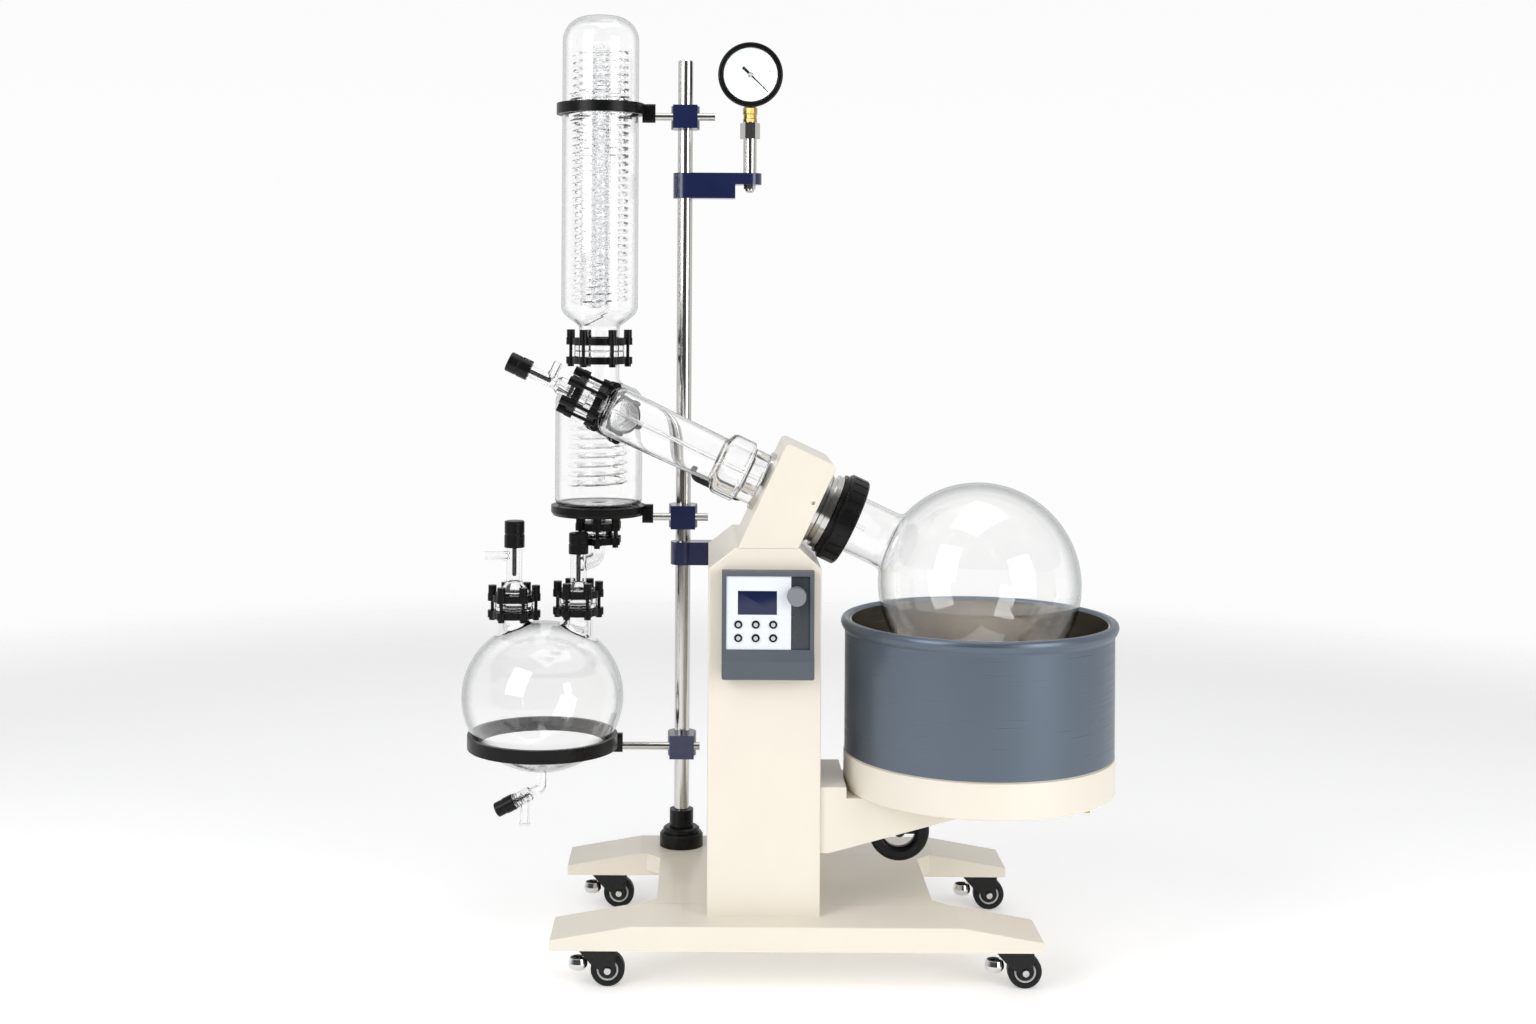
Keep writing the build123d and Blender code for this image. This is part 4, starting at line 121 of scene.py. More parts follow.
def gridFaces(rows, columns, wrapRows, wrapColumns):
    # Quads between neighbouring rows and columns of a grid of points.
    row = np.arange(rows if wrapRows else rows - 1)
    column = np.arange(columns if wrapColumns else columns - 1)
    a, b = np.meshgrid(row, column, indexing="ij")
    nextRow, nextColumn = (a + 1) % rows, (b + 1) % columns
    corners = [a * columns + b, a * columns + nextColumn]
    corners += [nextRow * columns + nextColumn, nextRow * columns + b]
    return np.stack(corners, -1).reshape(-1, 4)


def lathe(profile, place, segments=72, closed=True):
    # Turns (radius, height) points about the place's third direction. A closed
    # profile is a ring's section; an open one runs from the axis to the axis.
    profile = np.asarray(profile, float)
    loop = profile if closed else np.vstack([profile, profile[:1]])
    across, up = loop.T
    if np.sum(across * np.roll(up, -1) - np.roll(across, -1) * up) < 0:
        profile = profile[::-1]
    angles = np.linspace(0, 2 * math.pi, segments, endpoint=False)
    radius, height = profile[:, :1], np.repeat(profile[:, 1:], segments, 1)
    points = np.stack([radius * np.cos(angles), radius * np.sin(angles), height], -1)
    faces = gridFaces(len(profile), segments, closed, True)
    return toWorld(points.reshape(-1, 3), place), faces


tubeEnd = dict(shrink=0.999, reach=0.02)


def tube(path, radius, sides=12, reference=(0, 1, 0)):
    # Circles carried along a path; each stands square to it and is turned from a
    # fixed reference direction. Two more circles close each end to a point.
    path = np.asarray(path, float)
    way = np.gradient(path, axis=0)
    edge = radius * tubeEnd["shrink"]
    radii = np.concatenate([[0, edge], np.full(len(path), float(radius)), [edge, 0]])
    path = np.vstack([path[:1], path[:1], path, path[-1:], path[-1:]])
    way = np.vstack([way[:1], way[:1], way, way[-1:], way[-1:]])
    path[1] -= way[1] / np.linalg.norm(way[1]) * radius * tubeEnd["reach"]
    path[0] = path[1]
    path[-2] += way[-1] / np.linalg.norm(way[-1]) * radius * tubeEnd["reach"]
    path[-1] = path[-2]
    way = way / np.linalg.norm(way, axis=1, keepdims=True)
    side = np.cross(way, np.asarray(reference, float))
    side /= np.linalg.norm(side, axis=1, keepdims=True)
    rise = np.cross(side, way)
    angles = np.linspace(0, 2 * math.pi, sides, endpoint=False)
    ring = side[:, None] * np.cos(angles)[:, None] + rise[:, None] * np.sin(angles)[:, None]
    points = path[:, None] + ring * radii[:, None, None]
    return points.reshape(-1, 3), gridFaces(len(path), sides, False, True)


def smoothPath(points, steps=12):
    # A Catmull-Rom curve through the points, worked out for all spans at once.
    points = np.asarray(points, float)
    full = np.vstack([2 * points[0] - points[1], points, 2 * points[-1] - points[-2]])
    t = np.linspace(0, 1, steps, endpoint=False)[:, None, None]
    a, b, c, d = full[:-3], full[1:-2], full[2:-1], full[3:]
    square, cube = 2 * a - 5 * b + 4 * c - d, 3 * b - a - 3 * c + d
    curve = 0.5 * (2 * b + (c - a) * t + square * t**2 + cube * t**3)
    curve = curve.transpose(1, 0, 2).reshape(-1, points.shape[1])
    return np.vstack([curve, points[-1:]])


def prism(outline, low, high, place, bevel, steps=3):
    # Carries a flat outline along the third direction, and pulls it in round both
    # ends by quarter circles of the bevel's size.
    outline = np.asarray(outline, float)
    across, up = outline.T
    if np.sum(across * np.roll(up, -1) - np.roll(across, -1) * up) < 0:
        outline = outline[::-1]
    ahead = np.roll(outline, -1, 0) - outline
    ahead /= np.linalg.norm(ahead, axis=1, keepdims=True) + 1e-12
    outward = np.stack([ahead[:, 1], -ahead[:, 0]], 1)
    corner = outward + np.roll(outward, 1, 0)
    corner /= np.maximum(np.sum(corner * outward, 1), 0.3)[:, None]
    turn = np.linspace(0, math.pi / 2, steps + 1)
    pull, lift = bevel * (1 - np.sin(turn)), bevel * (1 - np.cos(turn))
    inset = np.concatenate([pull, pull[::-1]])
    height = np.concatenate([low + lift, (high - lift)[::-1]])
    rings = outline[None] - corner[None] * inset[:, None, None]
    levels = np.broadcast_to(height[:, None, None], (*rings.shape[:2], 1))
    points = np.concatenate([rings, levels], 2).reshape(-1, 3)
    count = len(outline)
    faces = gridFaces(len(height), count, False, True).tolist()
    faces.append(list(range(count))[::-1])
    faces.append(list(range((len(height) - 1) * count, len(height) * count)))
    return toWorld(points, place), faces


def roundedBox(width, height, radius, steps=5):
    return roundLoop(
        [
            (-width / 2, -height / 2, radius),
            (width / 2, -height / 2, radius),
            (width / 2, height / 2, radius),
            (-width / 2, height / 2, radius),
        ],
        turnStep=90 / steps,
    )


mergeDistance = 2e-6


def makePiece(name, parts, body, material, replaces=(), sharp=38):
    # Joins the parts into one mesh in metres and hangs it on its body.
    points, faces, offset = [], [], 0
    for partPoints, partFaces in parts:
        points.append(partPoints)
        if isinstance(partFaces, np.ndarray):
            partFaces = partFaces.tolist()
        faces.extend([[corner + offset for corner in face] for face in partFaces])
        offset += len(partPoints)
    mesh = bpy.data.meshes.new(name)
    mesh.from_pydata((np.vstack(points) * mm).tolist(), [], faces)
    work = bmesh.new()
    work.from_mesh(mesh)
    bmesh.ops.remove_doubles(work, verts=work.verts, dist=mergeDistance)
    work.to_mesh(mesh)
    work.free()
    mesh.polygons.foreach_set("use_smooth", np.ones(len(mesh.polygons), bool))
    mesh.set_sharp_from_angle(angle=math.radians(sharp))
    piece = bpy.data.objects.new(name, mesh)
    bpy.context.scene.collection.objects.link(piece)
    mesh.materials.append(material)
    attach(piece, body)
    if replaces:
        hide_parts(*replaces)


# Materials
def addNode(tree, kind, inputs=None, **settings):
    node = tree.nodes.new(kind)
    for key, value in settings.items():
        setattr(node, key, value)
    for key, value in (inputs or {}).items():
        node.inputs[key].default_value = value
    return node


def newMaterial(name, color, metallic=0.0, roughness=0.5, coat=0.0, ior=1.5, gloss=0.5):
    material = bpy.data.materials.new(name)
    material.use_nodes = True
    tree = material.node_tree
    shader = tree.nodes["Principled BSDF"]
    shader.inputs["Base Color"].default_value = (*color, 1)
    shader.inputs["Metallic"].default_value = metallic
    shader.inputs["Roughness"].default_value = roughness
    shader.inputs["IOR"].default_value = ior
    shader.inputs["Specular IOR Level"].default_value = gloss
    shader.inputs["Coat Weight"].default_value = coat
    shader.inputs["Coat Roughness"].default_value = 0.12
    return material, tree, shader


# The part of a noise's range that carries its pattern
noiseLow = 0.3
noiseHigh = 0.7


def objectNoise(tree, scale, detail=3.0, stretch=(1, 1, 1)):
    place = addNode(tree, "ShaderNodeTexCoord")
    mapping = addNode(tree, "ShaderNodeMapping", {"Scale": stretch})
    noise = addNode(tree, "ShaderNodeTexNoise", {"Scale": scale, "Detail": detail})
    tree.links.new(place.outputs["Object"], mapping.inputs["Vector"])
    tree.links.new(mapping.outputs["Vector"], noise.inputs["Vector"])
    return noise.outputs["Fac"]


def spread(tree, source, low, high, start=noiseLow, stop=noiseHigh, kind="LINEAR"):
    values = {"From Min": start, "From Max": stop, "To Min": low, "To Max": high}
    node = addNode(tree, "ShaderNodeMapRange", values, interpolation_type=kind)
    tree.links.new(source, node.inputs["Value"])
    return node.outputs["Result"]


def tint(tree, source, first, second, start=noiseLow, stop=noiseHigh):
    node = addNode(tree, "ShaderNodeValToRGB")
    low, high = node.color_ramp.elements
    low.position, high.position = start, stop
    low.color, high.color = (*first, 1), (*second, 1)
    tree.links.new(source, node.inputs["Fac"])
    return node.outputs["Color"]


def roughen(tree, shader, source, distance, strength):
    bump = addNode(tree, "ShaderNodeBump", {"Strength": strength, "Distance": distance})
    tree.links.new(source, bump.inputs["Height"])
    tree.links.new(bump.outputs["Normal"], shader.inputs["Normal"])


def mixShaders(tree, factor, first, second):
    mix = addNode(tree, "ShaderNodeMixShader")
    tree.links.new(factor, mix.inputs["Fac"])
    tree.links.new(first, mix.inputs[1])
    tree.links.new(second, mix.inputs[2])
    return mix.outputs["Shader"]


paintLook = dict(cloud=9, shade=0.965, smoother=0.04, rougher=0.05, relief=0.00012, strength=0.25)
plasticLook = dict(wear=40, change=0.06, relief=0.0002, strength=0.25)
metalLook = dict(detail=4, smoother=0.75, rougher=1.3, relief=0.00005)
glassLook = dict(blend=0.5, edgeStart=0.5, edgeStop=0.9, shadow=(0.93, 0.94, 0.94, 1))


def paint(name, color, roughness=0.35, coat=0.25, grain=700):
    look = paintLook
    material, tree, shader = newMaterial(name, color, roughness=roughness, coat=coat)
    cloud = objectNoise(tree, look["cloud"])
    darker = tuple(c * look["shade"] for c in color)
    tree.links.new(tint(tree, cloud, darker, color), shader.inputs["Base Color"])
    skin = objectNoise(tree, grain, 2)
    rough = spread(tree, cloud, roughness - look["smoother"], roughness + look["rougher"])
    tree.links.new(rough, shader.inputs["Roughness"])
    roughen(tree, shader, skin, look["relief"], look["strength"])
    return material


def plastic(name, color, roughness=0.42, grain=1500, gloss=0.5):
    look = plasticLook
    material, tree, shader = newMaterial(name, color, roughness=roughness, gloss=gloss)
    skin = objectNoise(tree, grain, 2)
    wear = objectNoise(tree, look["wear"])
    rough = spread(tree, wear, roughness - look["change"], roughness + look["change"])
    tree.links.new(rough, shader.inputs["Roughness"])
    roughen(tree, shader, skin, look["relief"], look["strength"])
    return material


def metal(
    name, color, roughness=0.28, stretch=(40, 40, 1), grain=60, strength=0.15, metallic=1.0,
    shade=0.8,
):
    look = metalLook
    material, tree, shader = newMaterial(name, color, metallic=metallic, roughness=roughness)
    streak = objectNoise(tree, grain, look["detail"], stretch)
    dark = tuple(c * shade for c in color)
    tree.links.new(tint(tree, streak, dark, color), shader.inputs["Base Color"])
    rough = spread(tree, streak, roughness * look["smoother"], roughness * look["rougher"])
    tree.links.new(rough, shader.inputs["Roughness"])
    roughen(tree, shader, streak, look["relief"], strength)
    return material


def glass(name, color=(1, 1, 1), edge=(0.16, 0.18, 0.19), roughness=0.0, ior=1.46):
    # Clear glass that lets the lamps' light through. Its colour is painted darker where it is seen
    # edge on: painted shade standing in for the dark outlines that refraction and reflection give
    # real glass.
    look = glassLook
    material, tree, shader = newMaterial(name, color, roughness=roughness, ior=ior)
    shader.inputs["Transmission Weight"].default_value = 1
    lean = addNode(tree, "ShaderNodeLayerWeight", {"Blend": look["blend"]})
    shade = tint(tree, lean.outputs["Facing"], color, edge, look["edgeStart"], look["edgeStop"])
    tree.links.new(shade, shader.inputs["Base Color"])
    path = addNode(tree, "ShaderNodeLightPath")
    clear = addNode(tree, "ShaderNodeBsdfTransparent", {"Color": look["shadow"]})
    surface = mixShaders(
        tree, path.outputs["Is Shadow Ray"], shader.outputs["BSDF"], clear.outputs["BSDF"]
    )
    tree.links.new(surface, tree.nodes["Material Output"].inputs["Surface"])
    return material


creamPaint = paint("cream paint", (0.79, 0.735, 0.635), 0.34, 0.2)
bathPaint = metal(
    "bath paint", (0.12, 0.15, 0.19), 0.36, (1, 1, 110), 7, 0.02, metallic=0.65, shade=0.94
)
navyPaint = paint("navy paint", (0.006, 0.012, 0.062), 0.25, 0.5)
blackMetal = plastic("black metal", (0.006, 0.006, 0.0065), 0.3, 700, 0.3)
blackPlastic = plastic("black plastic", (0.005, 0.005, 0.0055), 0.3, 1500, 0.2)
slatePlastic = plastic("slate plastic", (0.085, 0.1, 0.118), 0.4)
greyPlastic = plastic("grey plastic", (0.2, 0.21, 0.225), 0.5)
whitePlastic = plastic("white plastic", (0.76, 0.80, 0.84), 0.3)
blackRubber = plastic("black rubber", (0.008, 0.008, 0.0085), 0.5, 900, 0.25)
# Both glasses carry painted shade along their edges; the coil glass's edge colour is darker still.
clearGlass = glass("clear glass")
coilGlass = glass("coil glass", (0.97, 0.975, 0.98), (0.1, 0.11, 0.12))
steel = metal("steel", (0.62, 0.61, 0.59), 0.24, (1, 1, 40), 60)
polished = metal("polished steel", (0.66, 0.65, 0.63), 0.14, (40, 40, 1), 40, 0.05)
chrome = metal("chrome", (0.72, 0.72, 0.72), 0.06, (1, 1, 1), 30, 0.02)
brass = metal("brass", (0.60, 0.40, 0.13), 0.22, (1, 1, 30), 60)
print("materials made")


def wearNode(name, material):
    # Gives a CAD node that stays its own finish.
    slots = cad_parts[name].data.materials
    slots.clear()
    slots.append(material)


# Glassware
glassWall = 4.0
flask = dict(radius=171, neck=49, rim=56.5, coneStart=258, rimStart=266, end=281, blend=14)


def flaskLine(inset):
    # Half outline of the ball and its neck, from the bottom pole to the mouth.
    radius, neck, blend = flask["radius"] - inset, flask["neck"] - inset, flask["blend"] + inset
    reach = math.sqrt((radius + blend) ** 2 - (neck + blend) ** 2)
    touch = math.degrees(math.atan2(neck + blend, reach))
    # The arcs are worked out as (height, radius) and turned round at the end.
    ball = arcLine((0, 0), radius, 180, touch, 48)
    curve = arcLine((reach, neck + blend), blend, 180 + touch, 270, 8)
    line = np.vstack([ball, curve[1:]])
    return line[:, ::-1]


def makeFlask():
    mouth = [
        (flask["neck"], flask["coneStart"]),
        (flask["rim"], flask["rimStart"]),
        (flask["rim"], flask["end"]),
    ]
    outer = np.vstack([flaskLine(0), mouth])
    inner = np.vstack([flaskLine(glassWall), [(flask["neck"] - glassWall, flask["end"])]])
    profile = np.vstack([outer, inner[::-1]])
    part = lathe(profile, rotorPlace, 128, closed=False)
    makePiece("flaskBall", [part], "rotor", clearGlass, ["evaporating_flask"], 30)


makeFlask()

duct = dict(
    start=412, flange=45.5, flangeEnd=440, bell=54, bellEnd=482, tubeStart=40, tubeEnd=44,
    end=700, neck=20, rim=29, rimStart=722.5, rimEnd=734.2, wall=3.5, nozzle=22, nozzleStart=330,
    nozzleEnd=436,
)
branchTube = dict(
    radius=31, rim=40, footStart=34, footEnd=38, rimStart=116.5, rimEnd=124.7, socket=27,
    socketStart=125.3, socketRimEnd=133.5, reach=6,
)


def makeDuct():
    d, b = duct, branchTube
    w = d["wall"]
    outer = roundLoop(
        [
            (0, d["start"]), (d["flange"], d["start"], 2), (d["flange"], d["flangeEnd"], 3),
            (d["bell"], d["flangeEnd"] + 1, 4), (d["bell"], d["bellEnd"], 13),
            (d["tubeStart"], d["bellEnd"] + 6, 4), (d["tubeEnd"], d["end"], 22),
            (d["neck"], d["end"] + 3, 3), (d["neck"], d["rimStart"], 3),
            (d["rim"], d["rimStart"], 2), (d["rim"], d["rimEnd"], 1.5),
        ],
        closed=False,
    )[1:]
    inner = roundLoop(
        [
            (d["neck"] - w, d["rimEnd"]), (d["neck"] - w, d["end"] - w, 3),
            (d["tubeEnd"] - w, d["end"] - w, 18), (d["tubeStart"] - w, d["flangeEnd"] - 4, 6),
            (d["nozzle"], d["flangeEnd"] - 4, 4), (d["nozzle"], d["start"]),
        ],
        closed=False,
    )
    shell = lathe(np.vstack([outer, inner]), rotorPlace, 96)
    bore = d["nozzle"] - w
    nozzleLine = [
        (bore, d["nozzleStart"]), (d["nozzle"], d["nozzleStart"]), (d["nozzle"], d["nozzleEnd"]),
        (bore, d["nozzleEnd"]),
    ]
    nozzle = lathe(roundLoop(nozzleLine), rotorPlace, 64)
    branch = [
        (b["radius"] - w, b["footStart"]), (b["radius"], b["footEnd"]),
        (b["radius"], b["rimStart"], 3), (b["rim"], b["rimStart"], 2), (b["rim"], b["rimEnd"], 1.5),
        (b["radius"] - w, b["rimEnd"]),
    ]
    side = lathe(roundLoop(branch), branchPlace, 72)
    parts = [shell, nozzle, side]
    makePiece("vapourDuctGlass", parts, "stand", clearGlass, ["vapour_duct"], 30)


makeDuct()

nipple = dict(bore=3.5, radius=6, bead=7, beadStart=16, beadTop=20, end=22)


def nippleParts(distance, root, heights):
    # Hose nipples on the vessel's axis, pointing away from the operator.
    n = nipple
    profile = roundLoop(
        [
            (n["bore"], -root), (n["radius"], -root), (n["radius"], n["beadStart"], 1),
            (n["bead"], n["beadTop"], 1), (n["radius"], n["end"], 0.5), (n["bore"], n["end"], 0.5),
        ]
    )
    x, y = vesselAxis
    return [
        lathe(profile, makePlace((x, y + distance, z), (0, 1, 0), (0, 0, 1)), 24) for z in heights
    ]


vessel = dict(
    radius=80, bottom=748, shoulder=956, neck=37, neckStart=974, rim=46, rimStart=1020.5,
    rimEnd=1031.2, outlet=13, outletRim=30, outletRimEnd=696.3, outletRimStart=702.5,
    nippleRoot=14, nipples=(788, 908),
)


def makeVessel():
    v = vessel
    place = upright(*vesselAxis)
    w = glassWall
    outer = roundLoop(
        [
            (v["outlet"] - w, v["outletRimEnd"]), (v["outletRim"], v["outletRimEnd"], 1.5),
            (v["outletRim"], v["outletRimStart"], 1.5), (v["outlet"], v["outletRimStart"], 2),
            (v["outlet"], v["bottom"], 4), (v["radius"], v["bottom"], 11),
            (v["radius"], v["shoulder"], 26), (v["neck"], v["neckStart"], 14),
            (v["neck"], v["rimStart"], 3), (v["rim"], v["rimStart"], 2),
            (v["rim"], v["rimEnd"], 1.5), (v["neck"] - w, v["rimEnd"]),
        ]
    )
    inner = roundLoop(
        [
            (v["neck"] - w, v["rimEnd"]), (v["neck"] - w, v["neckStart"] - 2, 16),
            (v["radius"] - w, v["shoulder"] - 2, 22), (v["radius"] - w, v["bottom"] + w, 8),
            (v["outlet"] - w, v["bottom"] + w, 6), (v["outlet"] - w, v["outletRimEnd"]),
        ],
        closed=False,
    )
    shell = lathe(np.vstack([outer, inner[1:-1]]), place, 112)
    b = branchTube
    end = branchLength - v["radius"] + b["reach"]
    branch = [
        (b["socket"], b["socketStart"]), (b["rim"], b["socketStart"], 1.5),
        (b["rim"], b["socketRimEnd"], 2), (b["radius"], b["socketRimEnd"], 3), (b["radius"], end),
        (b["socket"], end),
    ]
    parts = [shell, lathe(roundLoop(branch), branchPlace, 72)]
    parts += nippleParts(v["radius"], v["nippleRoot"], v["nipples"])
    replaced = ["cooling_vessel"]
    makePiece("coolingVesselGlass", parts, "stand", clearGlass, replaced, 30)


makeVessel()

condenserSizes = dict(
    radius=70.5, neck=37, rim=46, rimStart=1031.8, rimEnd=1042.5, shoulder=1076, full=1102,
    top=1647, dome=46, wall=3.5, nippleRoot=10, nipples=(1124, 1573),
)


def makeCondenser():
    c = condenserSizes
    w = c["wall"]
    place = upright(*vesselAxis)
    outer = roundLoop(
        [
            (c["neck"] - w, c["rimStart"]), (c["rim"], c["rimStart"], 1.5),
            (c["rim"], c["rimEnd"], 2), (c["neck"], c["rimEnd"], 3),
            (c["neck"], c["shoulder"], 12), (c["radius"], c["full"], 24),
            (c["radius"], c["top"], c["dome"]), (0, c["top"]),
        ],
        closed=False, turnStep=7,
    )
    inner = roundLoop(
        [
            (0, c["top"] - w), (c["radius"] - w, c["top"] - w, c["dome"] - w),
            (c["radius"] - w, c["full"] + 2, 22), (c["neck"] - w, c["shoulder"] + 2, 14),
            (c["neck"] - w, c["rimStart"]),
        ],
        closed=False, turnStep=7,
    )
    shell = lathe(np.vstack([inner[:-1], outer]), place, 112, closed=False)
    parts = [shell] + nippleParts(c["radius"], c["nippleRoot"], c["nipples"])
    makePiece("condenserGlass", parts, "stand", clearGlass, ["condenser"], 30)


makeCondenser()


coils = dict(
    start=1.57,
    wound=(
        dict(radius=54, bottom=783, top=924, pitch=17, steps=40, wire=4.6, sides=10),
        dict(radius=55, bottom=1118, top=1584, pitch=13.7, steps=40, wire=4.3, sides=8),
        dict(radius=17, bottom=1110, top=1592, pitch=9.4, steps=24, wire=3.8, sides=8),
    ),
    tail=[
        (-307, 199, 1112), (-312, 190, 1102), (-330, 188, 1092), (-345, 190, 1084),
        (-352, 190, 1082),
    ],
    crown=[(-324, 254, 1584), (-318, 240, 1596), (-320, 222, 1600), (-324, 216, 1592)],
    endWire=3.8, legWire=4, legs=((788, 54, 78), (908, 54, 78), (1124, 55, 69), (1573, 55, 69)),
)


def coilTube(radius, bottom, top, pitch, steps, wire, sides):
    # A circle that climbs by one pitch in each turn.
    turns = (top - bottom) / pitch
    angle = np.linspace(0, turns * 2 * math.pi, int(turns * steps) + 1) + coils["start"]
    height = np.linspace(bottom, top, len(angle))
    across, away = radius * np.cos(angle) + vesselAxis[0], radius * np.sin(angle) + vesselAxis[1]
    return tube(np.stack([across, away, height], 1), wire, sides, (0, 0, 1))


def makeCoils():
    c = coils
    x, y = vesselAxis
    parts = [coilTube(**sizes) for sizes in c["wound"]]
    parts.append(tube(smoothPath(c["tail"]), c["endWire"], 10, (0, 1, 0)))
    parts.append(tube(smoothPath(c["crown"]), c["endWire"], 10, (1, 0, 0)))
    for z, start, stop in c["legs"]:
        leg = [(x, y + start, z), (x, y + stop - 6, z), (x, y + stop, z)]
        parts.append(tube(leg, c["legWire"], 12, (0, 0, 1)))
    makePiece("coolingCoilGlass", parts, "stand", coilGlass, ["cooling_coils"], 40)


makeCoils()

receiver = dict(
    x=-420.4, y=148, z=405.7, radius=146.7, height=134.9, bend=130, neck=27, outerFlare=9,
    innerFlare=5, flareHeight=11, sink=0.3, flareRows=7,
)
# Each neck's middle, its joint's height and thickness, and its rim.
necks = dict(vent=(-473.1, 570, 30, 35), inlet=(-356.7, 577, 32, 34))
ringThick = 13
sealGap = 0.6


def ovalLine(grow, steps=20):
    # Flat arc, round arc, flat arc: the flattened ball's half outline as (radius, height).
    reach = receiver["radius"] - receiver["bend"]
    height, bend = receiver["height"], receiver["bend"]
    polar = (reach**2 + height**2 - bend**2) / (2 * (height - bend))
    drop = polar - height
    touch = math.degrees(math.atan2(drop, reach))
    low = arcLine((0, drop), polar + grow, -90, -touch, steps)
    side = arcLine((reach, 0), bend + grow, -touch, touch, steps + 10)
    high = arcLine((0, -drop), polar + grow, touch, 90, steps)
    return np.vstack([low, side[1:], high[1:]])


def ovalHeight(distance, grow=0.0):
    line = ovalLine(grow, 60)
    half = line[len(line) // 2:][::-1]
    return np.interp(distance, half[:, 0], half[:, 1])


def neckPart(x, top, pitch, rim):
    # A short tube whose foot follows the ball's surface and flares into it: the foot
    # widens as one less the sine, and rises as one less the cosine, of a quarter turn.
    r, w = receiver, glassWall
    rimHeight = (pitch - ringThick - sealGap) / 2
    top = top - sealGap / 2
    angles = np.linspace(0, 2 * math.pi, 72, endpoint=False)
    profile = roundLoop(
        [
            (r["neck"], 0), (r["neck"], top - rimHeight, 3), (rim, top - rimHeight, 1.5),
            (rim, top, 1.5), (r["neck"] - w, top), (r["neck"] - w, 0),
        ],
    )
    feet = []
    for inset, flare in ((0.0, r["outerFlare"]), (w, r["innerFlare"])):
        rows = []
        for share in np.linspace(0, math.pi / 2, r["flareRows"]):
            radius = r["neck"] - inset + flare * (1 - math.sin(share))
            across = x - r["x"] + radius * np.cos(angles)
            surface = r["z"] + ovalHeight(np.hypot(across, radius * np.sin(angles)), -inset)
            lift = r["flareHeight"] * (1 - math.cos(share)) - r["sink"]
            rows.append((np.full_like(angles, radius), surface + lift))
        feet.append(rows)
    middle = [
        (np.full_like(angles, across), np.full_like(angles, height))
        for across, height in profile[profile[:, 1] > 1]
    ]
    radius, height = np.array(feet[0] + middle + feet[1][::-1]).transpose(1, 0, 2)
    points = np.stack([x + radius * np.cos(angles), r["y"] + radius * np.sin(angles), height], -1)
    faces = gridFaces(len(radius), len(angles), True, True)
    return points.reshape(-1, 3), faces[:, ::-1]


drain = dict(
    turn=239.5, angle=27, stem=9.0, outletAt=35,
    barrel=[
        (4.1, 22), (12, 22, 3), (12, 50, 3), (13.5, 52, 1.5), (13.5, 56, 1.5), (8, 56),
        (8, 66, 1), (4.1, 66),
    ],
    outlet=[
        (5.5, 171, 0.5), (8.6, 171, 1), (9.6, 174, 2), (8.2, 180, 4), (8.2, 222), (5.5, 222),
    ],
)


def makeReceiver():
    r = receiver
    place = upright(r["x"], r["y"], r["z"])
    outside = lathe(ovalLine(0), place, 120, closed=False)
    inside = lathe(ovalLine(-glassWall), place, 120, closed=False)
    inside = (inside[0], inside[1][:, ::-1])
    angle = math.radians(drain["angle"])
    drainWay = np.array([-math.cos(angle), 0, -math.sin(angle)])
    drainTurn = np.array([r["x"], r["y"], drain["turn"]])
    bottom = r["z"] - r["height"]
    stem = [(r["x"], r["y"], z) for z in (bottom + 1, bottom - 8, drain["turn"] + 12)]
    stem += [drainTurn + drainWay * 4 + np.array([1, 0, 1])]
    stem += [drainTurn + drainWay * distance for distance in (20, 40)]
    neckTube = tube(smoothPath(stem, 8), drain["stem"], 20, (0, 1, 0))
    barrel = lathe(roundLoop(drain["barrel"]), makePlace(drainTurn, drainWay, (0, 1, 0)), 40)
    outletPlace = upright((drainTurn + drainWay * drain["outletAt"])[0], r["y"])
    outlet = lathe(roundLoop(drain["outlet"]), outletPlace, 32)
    parts = [outside, inside, neckTube, barrel, outlet]
    parts += [neckPart(*sizes) for sizes in (necks["vent"], necks["inlet"])]
    replaced = ["receiving_flask"]
    makePiece("receivingFlaskGlass", parts, "stand", clearGlass, replaced, 32)


makeReceiver()
print("glassware made")

# Bath
bath = dict(
    x=338, y=-80, radius=226.5, bottom=369, rim=574, rimTop=591, rimRadius=233.5, tub=217.5,
    floor=383, wall=2, tubWall=1.8, heaters=(165, 90), heaterHalf=5, heaterLow=373.4,
    pan=228, panLow=308, panFloor=313, panHigh=367, lip=224.2, lipInner=206.2,
)
bathPlace = upright(bath["x"], bath["y"])


